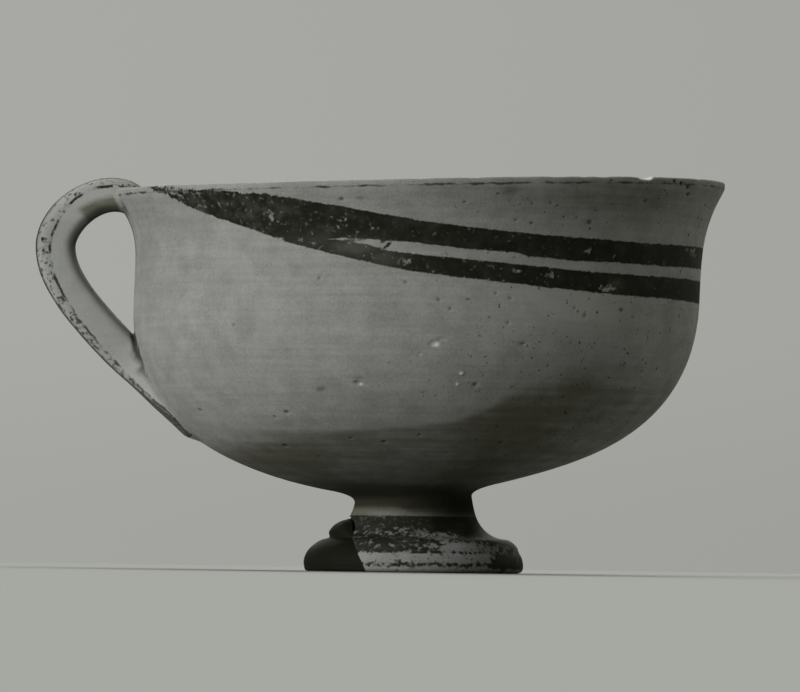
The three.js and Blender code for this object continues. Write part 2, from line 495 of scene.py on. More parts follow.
def grown_from(
    guide: bpy.types.Object, tree: bpy.types.NodeTree, sizes: dict[str, object]
) -> bpy.types.Mesh:
    """The mesh that a Geometry Nodes tree grows from a guide.

    Args:
        guide: the object with the guide line.
        tree: the tree.
        sizes: the value of each named input.

    Returns:
        A closed mesh whose faces point outwards.
    """
    modifier = guide.modifiers.new("growth", "NODES")
    modifier.node_group = tree
    for item in tree.interface.items_tree:
        if item.in_out == "INPUT" and item.name in sizes:
            modifier[item.identifier] = sizes[item.name]
    mesh = baked(guide)
    face_outwards(mesh)
    return mesh


class Cut(Enum):
    """How one solid changes another."""

    ADD = "UNION"
    TAKE = "DIFFERENCE"
    KEEP = "INTERSECT"


def shaped(base: bpy.types.Object, cut: Cut, tool: bpy.types.Object) -> None:
    """Joins a solid to another, takes it away, or keeps what they share, and drops the tool."""
    modifier = base.modifiers.new("cut", "BOOLEAN")
    modifier.operation = cut.value
    modifier.solver = "MANIFOLD"
    modifier.object = tool
    old = base.data
    base.data = baked(base)
    bpy.data.meshes.remove(old)
    dropped(tool)


def surface_of(mesh: bpy.types.Mesh) -> BVHTree:
    """Returns a mesh's surface, ready for nearest-point questions."""
    polygons = [tuple(p.vertices) for p in mesh.polygons]
    return BVHTree.FromPolygons([v.co[:] for v in mesh.vertices], polygons)


def clearances(points: np.ndarray, surface: BVHTree, reach: float) -> np.ndarray:
    """How far points are outside a surface.

    Args:
        points: the points.
        surface: the surface to measure from.
        reach: the largest distance to look for.

    Returns:
        Positive outside and negative inside, and reach where the surface is further off.
    """
    found = np.full(len(points), reach)
    for i, point in enumerate(points):
        near, facing, _, distance = surface.find_nearest(point, reach)
        if near is not None:
            found[i] = math.copysign(distance, (Vector(point) - near).dot(facing))
    return found


# Forms


@dataclass
class CupForm:
    """Sizes of the thrown cup in millimetres, its curves, and how it has settled.

    A pull is where a curve's control point stands: as a share of the run that it shapes, or as a
    pair of distances from its end, across and up.
    """

    foot_radius: float = 27.3
    foot_edge_round: float = 1.7
    foot_edge_width: float = 4.3
    foot_edge_height: float = 8.4
    groove_height: float = 5.2
    groove_depth: float = 0.3
    waist_radius: float = 14.4
    waist_rise: float = 9.5
    bowl_foot_spread: float = 5.6
    bowl_foot_rise: float = 2.75
    bowl_foot_slope: float = 0.21
    belly_radius: float = 69.4
    belly_rise: float = 45.35
    lip_turnout: float = 5.35
    lip_rise: float = 28.5
    lip_flare: float = math.radians(27)
    floor_thickness: float = 5.5
    wall_thickness: float = 3.5
    lip_thickness: float = 2.6
    floor_sink: float = 0.95
    slump_at_waist: float = 0.07
    slump_at_lip: float = 0.027
    lean_at_lip: float = 0.6
    lip_dip: float = 0.7
    lip_dip_skew: float = 1.0
    press: float = 0.8
    press_height: float = 83.5
    press_spread: float = 8.0
    press_width: float = 0.42
    groove_width: float = 0.75
    edge_pull: float = 0.46
    shoulder_pull: tuple[float, float] = (2.9, 0.6)
    foot_top_pull: tuple[float, float] = (5.6, 0.1)
    waist_pull: tuple[float, float] = (0.6, 4.3)
    bowl_pull: float = 0.47
    belly_pull: float = 0.69
    wall_pull: float = 0.56
    flare_pull: float = 0.34
    floor_blend: float = 2.5
    floor_pulls: tuple[float, float] = (0.65, 0.5)

    def __post_init__(self) -> None:
        """Works out the heights and radii that follow from the sizes."""
        self.foot_top_radius = self.foot_radius - self.foot_edge_width
        self.waist_height = self.foot_edge_height + self.waist_rise
        self.bowl_foot_radius = self.waist_radius + self.bowl_foot_spread
        self.bowl_foot_height = self.waist_height + self.bowl_foot_rise
        self.belly_height = self.bowl_foot_height + self.belly_rise
        self.lip_radius = self.belly_radius + self.lip_turnout
        self.lip_height = self.belly_height + self.lip_rise
        self.roll_radius = self.lip_thickness / 2
        self.roll_centre = (self.lip_radius - self.roll_radius, self.lip_height - self.roll_radius)
        self.flare = (math.sin(self.lip_flare), math.cos(self.lip_flare))
        self.flare_end = (
            self.roll_centre[0] + self.flare[1] * self.roll_radius,
            self.roll_centre[1] - self.flare[0] * self.roll_radius,
        )
        outer = np.concatenate([self.foot_side(), self.bowl_side(60), self.wall_side(30)])
        self.outer_radii, self.outer_heights = outer[:, 0], outer[:, 1]
        middle = self.inner_side(0.5, 40, 30, 20)[::-1]
        self.middle_radii, self.middle_heights = middle[:, 0], middle[:, 1]

    def foot_side(self) -> np.ndarray:
        """Returns the outer side from the foot's edge up to where the bowl starts."""
        r, top, waist = self.foot_radius, self.foot_top_radius, self.waist_radius
        h, rounding, waist_height = self.foot_edge_height, self.foot_edge_round, self.waist_height
        shoulder = (top + self.shoulder_pull[0], h - self.shoulder_pull[1])
        foot_top = (top - self.foot_top_pull[0], h + self.foot_top_pull[1])
        stem = (waist + self.waist_pull[0], waist_height - self.waist_pull[1])
        bowl_foot = (self.bowl_foot_radius, self.bowl_foot_height)
        spread = self.bowl_foot_height - self.bowl_foot_spread * self.bowl_foot_slope
        side = np.concatenate(
            [
                bezier([(r - rounding, 0), (r, 0), (r, rounding)], 6)[:-1],
                bezier([(r, rounding), (r, h * self.edge_pull), shoulder, (top, h)], 14)[:-1],
                bezier([(top, h), foot_top, stem, (waist, waist_height)], 18)[:-1],
                bezier([(waist, waist_height), (waist, spread), bowl_foot], 8)[:-1],
            ]
        )
        from_groove = (side[:, 1] - self.groove_height) / self.groove_width
        side[:, 0] -= self.groove_depth * np.exp(-(from_groove**2))
        return side

    def bowl_side(self, steps: int) -> np.ndarray:
        """Returns the outer side of the bowl, from its start out and up to the belly."""
        start = (self.bowl_foot_radius, self.bowl_foot_height)
        run = (self.belly_radius - self.bowl_foot_radius) * self.bowl_pull
        return bezier(
            [
                start,
                (start[0] + run, start[1] + run * self.bowl_foot_slope),
                (self.belly_radius, self.belly_height - self.belly_rise * self.belly_pull),
                (self.belly_radius, self.belly_height),
            ],
            steps,
        )

    def wall_side(self, steps: int) -> np.ndarray:
        """Returns the outer side of the wall, from the belly up to the turned-out lip."""
        rise = self.flare_end[1] - self.belly_height
        belly = (self.belly_radius, self.belly_height)
        wall = (self.belly_radius, self.belly_height + rise * self.wall_pull)
        flare = tuple(e - f * rise * self.flare_pull for e, f in zip(self.flare_end, self.flare))
        return bezier([belly, wall, flare, self.flare_end], steps)

    def inner_side(
        self, share: float, wall_rows: int, bowl_rows: int, floor_rows: int
    ) -> np.ndarray:
        """A face inside the clay, from the lip down to the middle of the floor.

        Args:
            share: 1 for the cup's inner face, or less for a face within the clay.
            wall_rows: how many rows the wall takes.
            bowl_rows: how many rows the bowl takes.
            floor_rows: how many rows the floor takes.

        Returns:
            Rows of radius and height.
        """
        along = np.linspace(0, 1, wall_rows + 1)
        depth = share * lerp(self.wall_thickness, self.lip_thickness, along)
        wall = self.drawn_in(self.wall_side(wall_rows), depth)
        along = np.minimum(np.linspace(0, 1, bowl_rows + 1) * self.floor_blend, 1)
        depth = share * lerp(self.floor_thickness, self.wall_thickness, along)
        bowl = self.drawn_in(self.bowl_side(bowl_rows), depth)
        foot, (first, second) = bowl[0], self.floor_pulls
        middle = self.bowl_foot_height - self.floor_sink + share * self.floor_thickness
        floor = bezier(
            [
                tuple(foot),
                (foot[0] * first, foot[1] - foot[0] * (1 - first) * self.bowl_foot_slope),
                (foot[0] * second, middle),
                (0.0, middle),
            ],
            floor_rows,
        )
        return np.concatenate([wall[::-1], bowl[::-1][1:-1], floor])

    @staticmethod
    def drawn_in(side: np.ndarray, depth: np.ndarray) -> np.ndarray:
        """Returns an outer side moved into the clay, square to itself."""
        ahead = tangents(side)
        return side + np.stack([-ahead[:, 1], ahead[:, 0]], axis=1) * np.reshape(depth, (-1, 1))

    def slump(self, height: np.ndarray) -> np.ndarray:
        """Returns how far the bowl hangs down per millimetre toward the handle, by height."""
        climb = (height - self.waist_height) / (self.belly_height * 0.6 - self.waist_height)
        left = 1 - clamp(climb, 0, 1)
        share = smoothstep(height, self.waist_height * 0.7, self.waist_height)
        return lerp(self.slump_at_lip, self.slump_at_waist, left**3) * share

    def settle(self, places: np.ndarray) -> np.ndarray:
        """Returns the true places of points of the round cup, once it has settled."""
        x, y, z = np.asarray(places, float).T
        reach = np.maximum(np.hypot(x, y), TINY)
        across = (y / reach) ** 2 * (1 - self.lip_dip_skew * x / reach)
        rise = smoothstep(z, self.belly_height, self.lip_height)
        dip = self.lip_dip * across * rise * np.minimum(reach / self.belly_radius, 1)
        lean = self.lean_at_lip * smoothstep(z, self.belly_height * 0.8, self.lip_height)
        handle_side = smoothstep(-x / reach, 0.0, 0.8)
        from_press = z - self.press_height
        hill = bump_at(y / reach, from_press, self.press_width, self.press_spread)
        pressed = self.press * handle_side * hill
        return np.stack([x + lean + pressed, y, z + self.slump(z) * x - dip], axis=1)

    def unsettle(self, places: np.ndarray) -> np.ndarray:
        """Returns where true places lay on the round cup, before it settled."""
        guess = np.array(places, float)
        for _ in range(5):
            guess = guess + places - self.settle(guess)
        return guess

    def outer_place(self, turn: float, height: float, near: bool = True) -> np.ndarray:
        """A point on the cup's outer face.

        Args:
            turn: the angle from the handle, in degrees.
            height: its true height.
            near: whether it lies on the camera's side.

        Returns:
            The point.
        """
        angle, side, round_height = math.radians(turn), -1 if near else 1, height
        for _ in range(6):
            radius = float(np.interp(round_height, self.outer_heights, self.outer_radii))
            flat = (-radius * math.cos(angle), side * radius * math.sin(angle), round_height)
            place = self.settle(np.array([flat]))[0]
            round_height += height - place[2]
        return place

    def crest_height(self, places: np.ndarray) -> np.ndarray:
        """Returns the height of the lip's crest above or below each place."""
        reach = np.maximum(np.hypot(places[:, 0], places[:, 1]), TINY)[:, None]
        flat = places[:, :2] / reach * self.roll_centre[0]
        crest = np.concatenate([flat, np.full((len(places), 1), self.lip_height)], axis=1)
        return self.settle(crest)[:, 2]


@dataclass
class HandleForm:
    """Sizes of the strap handle in millimetres, and its path from the lip to the lower wall."""

    cup: CupForm
    reach: float = 24.0
    width: float = 17.0
    thickness: float = 9.8
    thickness_at_lip: float = 8.0
    lip_spread: float = 5.0
    root_spread: float = 15.0
    root_thinning: float = 4.1
    root_taper: float = 1.3
    root_narrowing: float = 0.24
    rise: float = 5.34
    start_drop: float = 2.6
    back_drop: float = 15.8
    root_share: float = 0.52
    root_depth: float = 1.7
    lap: float = 3.2
    lap_start: float = 3.0
    lap_drop: float = 7.0
    lap_thinning: float = 0.45
    over_pulls: tuple[float, float] = (0.466, 0.82)
    down_pulls: tuple[float, float, float] = (0.28, 0.51, 0.45)
    lip_share: float = 0.3
    root_from: float = 0.66
    rows: int = 174

    def __post_init__(self) -> None:
        """Works out the path, at equal steps of its length, and the strap's section along it."""
        cup = self.cup
        back = -(cup.belly_radius + self.reach - self.thickness / 2)
        lip_side = cup.settle(np.array([(-cup.lip_radius, 0, cup.lip_height)]))[0]
        start = (lip_side[0] + cup.lip_thickness * 2, lip_side[2] - self.start_drop)
        turn = (back, cup.lip_height - self.back_drop)
        side = cup.bowl_side(200)
        root = CupForm.drawn_in(side, np.full(len(side), self.root_depth))
        root = root[round(self.root_share * (len(side) - 1))]
        end = cup.settle(np.array([(-root[0], 0, root[1])]))[0][[0, 2]]
        drop = turn[1] - end[1]
        over = [
            start,
            (lerp(start[0], back, self.over_pulls[0]), start[1] + self.rise),
            (back, start[1] - self.rise * self.over_pulls[1]),
            turn,
        ]
        high, inward, low = self.down_pulls
        down = [
            turn,
            (back, turn[1] - drop * high),
            (lerp(end[0], back, inward), end[1] + drop * low),
            tuple(end),
        ]
        fine = np.concatenate([bezier(over, 400)[:-1], bezier(down, 400)])
        along = lengths_along(fine)
        self.length = float(along[-1])
        self.shares = np.linspace(-self.lap / self.length, 1, self.rows)
        at = self.shares * self.length
        self.path = np.stack(
            [np.interp(at, along, fine[:, 0]), np.interp(at, along, fine[:, 1])], axis=1
        )
        first = (fine[1] - fine[0]) / np.linalg.norm(fine[1] - fine[0])
        self.path += np.minimum(at, 0)[:, None] * first
        ahead = tangents(self.path)
        self.facing = np.stack([ahead[:, 1], -ahead[:, 0]], axis=1)
        near_lip = 1 - smoothstep(self.shares, 0, self.lip_share)
        near_root = smoothstep(self.shares, self.root_from, 1)
        wide = self.width + self.lip_spread * near_lip + self.root_spread * near_root
        self.half_width = wide / 2
        thick = lerp(self.thickness, self.thickness_at_lip, near_lip)
        thick = thick - self.root_thinning * near_root
        self.half_thickness = (thick - self.root_taper * smoothstep(self.shares, 0.86, 0.97)) / 2
        self.half_width *= 1 - self.root_narrowing * smoothstep(self.shares, 0.9, 1)
        lap = clamp((self.lap_start - at) / (self.lap_start + self.lap), 0, 0.97)
        self.half_width *= lerp(1.0, np.sqrt(1 - lap**2), smoothstep(lap, 0, 0.6))
        self.half_thickness *= 1 - self.lap_thinning * lap**2

    def beside(self, places: np.ndarray) -> tuple[np.ndarray, np.ndarray, np.ndarray]:
        """Where points lie along the strap.

        Args:
            places: the points.

        Returns:
            For each point the share of the path, how far outward it lies from the path, and how far
            outward the strap's own face is there.
        """
        gaps = places[:, None, [0, 2]] - self.path[None]
        nearest = np.argmin((gaps**2).sum(axis=2), axis=1)
        rows = np.arange(len(places))
        out = (gaps[rows, nearest] * self.facing[nearest]).sum(axis=1)
        return self.shares[nearest], out, self.half_thickness[nearest]


@dataclass
class BreakForm:
    """The break across the foot in millimetres: its face leans and bows away from the handle."""

    at_base: float = 11.3
    below: float = 3.0
    lean: float = 0.52
    bow: float = 0.018
    height: float = 13.4
    roughness: float = 0.3
    gap: float = 0.04
    far: float = 60.0
    across: float = 40.0
    seed: int = 7

    def face_at(self, across: np.ndarray, height: np.ndarray) -> np.ndarray:
        """Returns how far toward -X the broken face lies."""
        rng = np.random.default_rng(self.seed)
        waves = np.zeros_like(across)
        for size in (17.0, 9.0, 5.0, 3.1):
            turn, shift = rng.uniform(0, math.tau, 2)
            step = (across * math.cos(turn) + height * math.sin(turn)) * math.tau / size
            waves += np.sin(step + shift) * size / 17.0
        rise = clamp(height, 0, self.height)
        return self.at_base + self.lean * rise - self.bow * rise**2 + self.roughness * waves * 0.5

    def slab(self, drawn_back: float) -> bpy.types.Mesh:
        """A slab across the whole foot, beyond the break.

        Args:
            drawn_back: how far the slab stays behind the broken faces.

        Returns:
            A closed mesh.
        """
        columns, rows = 70, 24
        across, height = np.meshgrid(
            np.linspace(-self.across, self.across, columns),
            np.linspace(-self.below, self.height - drawn_back, rows),
            indexing="ij",
        )
        across, height = across.ravel(), height.ravel()
        front = np.stack([-self.face_at(across, height) - drawn_back, across, height], axis=1)
        back = np.stack([np.full_like(across, -self.far), across, height], axis=1)
        size, faces = columns * rows, []
        for i in range(columns - 1):
            for j in range(rows - 1):
                a, b = i * rows + j, (i + 1) * rows + j
                c, d = b + 1, a + 1
                faces += [(a, b, c, d), (size + d, size + c, size + b, size + a)]
        rim = [i * rows for i in range(columns)]
        rim += [(columns - 1) * rows + j for j in range(1, rows)]
        rim += [i * rows + rows - 1 for i in range(columns - 2, -1, -1)]
        rim += list(range(rows - 2, 0, -1))
        for a, b in zip(rim, rim[1:] + rim[:1]):
            faces.append((b, a, size + a, size + b))
        mesh = mesh_of("beyond_break", np.concatenate([front, back]), faces)
        face_outwards(mesh)
        return mesh


class Blemish(Enum):
    """What a small mark in the cup's surface is."""

    PIT = "a hollow that has darkened"
    FLAKE = "a shallow hollow that shows fresh pale clay"
    GRIT = "a pale grain that stands out"


@dataclass(frozen=True)
class Mark:
    """A small mark: its place by turn and height, its two radii and its depth, in mm."""

    kind: Blemish
    turn: float
    height: float
    wide: float
    tall: float
    depth: float
    near: bool = True


@dataclass(frozen=True)
class BrushMark:
    """A short stray mark of the brush between two places, with half its width in mm."""

    turn: float
    height: float
    end_turn: float
    end_height: float
    half_width: float
    reach: float = 70.0


@dataclass(frozen=True)
class Patch:
    """A soft patch on the outside, by turn and height, with its two radii in mm."""

    turn: float
    height: float
    wide: float
    tall: float
    strength: float


@dataclass(frozen=True)
class Rub:
    """A rubbed place on the foot, by its distance toward +X, height and radii, in mm."""

    across: float
    height: float
    wide: float
    tall: float
    strength: float


# Finishes


@dataclass(frozen=True)
class PaintedClay:
    """Fired pale clay with dark slip painted on it, worn and with stains, painted shade and painted
    light.
    """

    clay_pale: tuple[float, ...] = (0.231, 0.236, 0.223, 1)
    clay_deep: tuple[float, ...] = (0.148, 0.15, 0.138, 1)
    # Paler clay, for painted light on the handle and a broad patch of the bowl.
    painted_light: tuple[float, ...] = (0.31, 0.316, 0.298, 1)
    fresh: tuple[float, ...] = (0.4, 0.4, 0.385, 1)
    # Dark olive, for stains and smudges, the darker lower bowl, and painted shade.
    stain_and_shade: tuple[float, ...] = (0.07, 0.067, 0.046, 1)
    # Near black, for specks and pits, and for the deepest painted shade.
    soot_and_shade: tuple[float, ...] = (0.012, 0.012, 0.008, 1)
    slip: tuple[float, ...] = (0.0095, 0.0095, 0.0062, 1)
    thin_slip: tuple[float, ...] = (0.048, 0.049, 0.038, 1)
    cloud: Noise = Noise(0.045, 1.0, 3.0)
    mottle: Noise = Noise(0.22, 2.0, 4.0)
    grain: Noise = Noise(1.7, 3.0, 3.0)
    wheel: Noise = Noise(0.75, 4.0, 3.0, (0.045, 0.045, 1.0))
    specks: Noise = Noise(0.95, 9.0, 1.0)
    wobble: Noise = Noise(0.5, 11.0, 3.0)
    line_breaks: Noise = Noise(0.3, 12.0, 4.0, (1.0, 1.0, 0.3))
    seam_breaks: Noise = Noise(0.33, 13.0, 3.0)
    flecks: Noise = Noise(1.05, 14.0, 2.0)
    streaks: Noise = Noise(0.8, 15.0, 4.0, (0.35, 0.35, 1.0))
    thinning: Noise = Noise(0.6, 16.0, 3.0)
    lip_line_drop: float = 1.55
    seam_depth: float = 0.3
    relief: float = 0.2

    def made(self) -> bpy.types.Material:
        """Returns the material."""
        material = bpy.data.materials.new("painted_clay_finish")
        material.use_nodes = True
        material.node_tree.nodes.clear()
        w = Wiring(material.node_tree)
        place = w.scaled(w.node("ShaderNodeTexCoord").outputs["Object"], 1 / MM)
        cloud, mottle = w.read(place, self.cloud), w.read(place, self.mottle)
        grain, wheel = w.read(place, self.grain), w.read(place, self.wheel)

        broad = w.add(w.times(cloud, 0.35), w.times(mottle, 0.55), w.times(wheel, 0.35))
        depth = w.add(broad, w.times(grain, 0.5))
        clay = w.mixed(w.climb(depth, 0.58, 1.17), self.clay_pale, self.clay_deep)
        # Painted light: paler clay on the handle and on a broad patch of the bowl.
        clay = w.mixed(w.marked("painted_light"), clay, self.painted_light)
        # Stains, a darker lower bowl and painted shade, made uneven by the clay's noise.
        darkening = w.marked("stain_and_shade")
        uneven = w.add(w.times(w.less(wheel, 0.5), 1.5), w.times(w.less(mottle, 0.5), 1.1))
        uneven_darkening = w.times(darkening, w.add(1.0, w.times(uneven, w.rest_of(w.times(darkening, 0.55)))))
        clay = w.mixed(w.climb(uneven_darkening, -0.1, 1.1), clay, self.stain_and_shade)
        specks = w.climb(w.read(place, self.specks), 0.675, 0.74)
        clay = w.mixed(w.times(specks, w.marked("grimy"), 0.85), clay, self.soot_and_shade)

        paint, thin = self.paint(w, place, grain, mottle)
        colour = w.mixed(thin, self.slip, self.thin_slip)
        colour = w.mixed(paint, clay, colour)
        colour = w.mixed(w.marked("fresh"), colour, self.fresh)
        # Near black in pits, and as painted shade round the waist and where the handle meets the
        # cup, with less gloss there.
        pits_and_shade = w.times(w.marked("pit"), 0.9)
        colour = w.mixed(pits_and_shade, colour, self.soot_and_shade)

        gloss = w.times(w.less(0.12, w.times(paint, 0.06)), w.rest_of(pits_and_shade))
        rough = w.less(w.add(0.74, w.times(grain, 0.2)), w.times(paint, 0.16))
        height = w.add(w.times(grain, 0.45), w.times(wheel, 0.6), w.times(mottle, 0.5))
        height = w.add(height, w.times(paint, 0.2))
        w.show(colour, rough, gloss, height, strength=0.6, relief=self.relief)
        return material

    def paint(
        self, w: Wiring, place: Socket, grain: Socket, mottle: Socket
    ) -> tuple[Socket, Socket]:
        """How much slip covers the clay.

        Args:
            w: the material's wiring.
            place: the place in millimetres.
            grain: fine noise.
            mottle: broad noise.

        Returns:
            The share of the surface that slip covers, and how thin the slip is there.
        """
        wobble = w.less(w.read(place, self.wobble), 0.5)
        ragged = w.add(w.times(wobble, 1.5), w.times(w.less(grain, 0.5), 0.8))
        edge = w.times(ragged, w.add(0.5, w.times(w.marked("ragged"), 1.8)))
        bands = w.climb(w.add(w.marked("band"), edge), -0.2, 0.2)

        flecks, streaked = w.read(place, self.flecks), w.read(place, self.streaks)
        worn = w.marked("worn")
        loss = w.add(w.times(flecks, 0.65), w.times(streaked, 0.35), w.times(worn, 0.4))
        kept = w.rest_of(w.times(w.climb(loss, 0.6, 0.74), w.add(0.55, w.times(worn, 0.6))))

        broken = w.climb(w.read(place, self.line_breaks), 0.36, 0.66)
        line = w.less(w.marked("below_lip"), self.lip_line_drop)
        line = w.math("ABSOLUTE", w.add(line, w.times(wobble, 0.9)))
        wide = w.add(0.14, w.times(broken, 0.3))
        lip = w.rest_of(w.climb(line, w.times(wide, 0.3), wide))
        lip = w.times(lip, w.add(0.12, w.times(broken, 0.72)))

        back = w.times(w.climb(w.add(w.marked("back"), w.times(ragged, 0.5)), -0.15, 0.15), kept)
        seam = w.add(w.less(w.marked("back"), self.seam_depth), w.times(ragged, 0.45))
        seam = w.rest_of(w.climb(w.math("ABSOLUTE", seam), 0.15, 0.5))
        seam = w.times(seam, w.climb(w.read(place, self.seam_breaks), 0.39, 0.53))
        rim = w.times(w.climb(w.marked("outer_edge"), -0.35, 0.1), w.climb(flecks, 0.25, 0.5))

        foot = w.times(
            w.climb(w.add(w.marked("foot_paint"), w.times(wobble, 0.3)), -0.1, 0.1), kept
        )

        cover = w.times(bands, kept)
        for more in (lip, back, foot, seam, rim):
            cover = w.math("MAXIMUM", cover, more)
        patchy = w.add(w.times(mottle, 0.6), w.times(w.read(place, self.thinning), 0.4))
        patchy = w.climb(patchy, 0.42, 0.7)
        thin = w.math("MINIMUM", w.add(w.marked("wash"), w.times(patchy, w.marked("patchy"))), 1.0)
        return cover, thin


@dataclass(frozen=True)
class DarkFill:
    """Dark modelled filler, smoothed by hand, with a faint sheen and patches of dust."""

    body: tuple[float, ...] = (0.0068, 0.0068, 0.0045, 1)
    dusty: tuple[float, ...] = (0.0125, 0.0125, 0.0085, 1)
    cloud: Noise = Noise(0.16, 21.0, 3.0)
    fine: Noise = Noise(1.4, 22.0, 3.0)
    strokes: Noise = Noise(1.0, 23.0, 2.0, (0.2, 0.2, 0.9))
    gloss: float = 0.04
    relief: float = 0.25

    def made(self) -> bpy.types.Material:
        """Returns the material."""
        material = bpy.data.materials.new("dark_fill_finish")
        material.use_nodes = True
        material.node_tree.nodes.clear()
        w = Wiring(material.node_tree)
        place = w.scaled(w.node("ShaderNodeTexCoord").outputs["Object"], 1 / MM)
        cloud, fine = w.read(place, self.cloud), w.read(place, self.fine)
        strokes = w.read(place, self.strokes)
        dust = w.climb(w.add(w.times(cloud, 0.6), w.times(fine, 0.4)), 0.42, 0.75)
        colour = w.mixed(w.times(dust, 0.6), self.body, self.dusty)
        rough = w.add(0.55, w.times(cloud, 0.25))
        height = w.add(w.times(strokes, 0.8), w.times(fine, 0.35))
        w.show(colour, rough, self.gloss, height, strength=0.5, relief=self.relief)
        return material


@dataclass(frozen=True)
class PalePaper:
    """Matt pale paper for the floor."""

    tone: tuple[float, ...] = (0.276, 0.282, 0.281, 1)

    def made(self) -> bpy.types.Material:
        """Returns the material."""
        material = bpy.data.materials.new("pale_paper")
        material.use_nodes = True
        shader = material.node_tree.nodes["Principled BSDF"]
        shader.inputs["Base Color"].default_value = self.tone
        shader.inputs["Roughness"].default_value = 1.0
        shader.inputs["Specular IOR Level"].default_value = 0.0
        return material


@dataclass(frozen=True)
class PaleSurround:
    """The tone of the paper behind, which gives the backdrop its own light, with painted shade."""

    tone: tuple[float, ...] = (0.381, 0.386, 0.361, 1)
    floor_shade_share: float = 0.065
    floor_shade_height: float = 0.3
    side_shade: float = 0.06

    def made(self) -> bpy.types.Material:
        """Returns the material."""
        material = bpy.data.materials.new("pale_surround")
        material.use_nodes = True
        material.node_tree.nodes.clear()
        w = Wiring(material.node_tree)
        place = w.node("ShaderNodeSeparateXYZ", {0: w.node("ShaderNodeTexCoord").outputs["Object"]})
        # Painted shade: the glow is a little weaker near the floor and toward +X.
        rise = w.climb(place.outputs[2], 0.0, self.floor_shade_height)
        upward = w.add(1 - self.floor_shade_share, w.times(rise, self.floor_shade_share))
        strength = w.times(upward, w.rest_of(w.times(place.outputs[0], self.side_shade)))
        glow = w.node("ShaderNodeEmission", {"Color": self.tone, "Strength": strength})
        w.node("ShaderNodeOutputMaterial", {0: glow.outputs[0]})
        return material


# Pieces


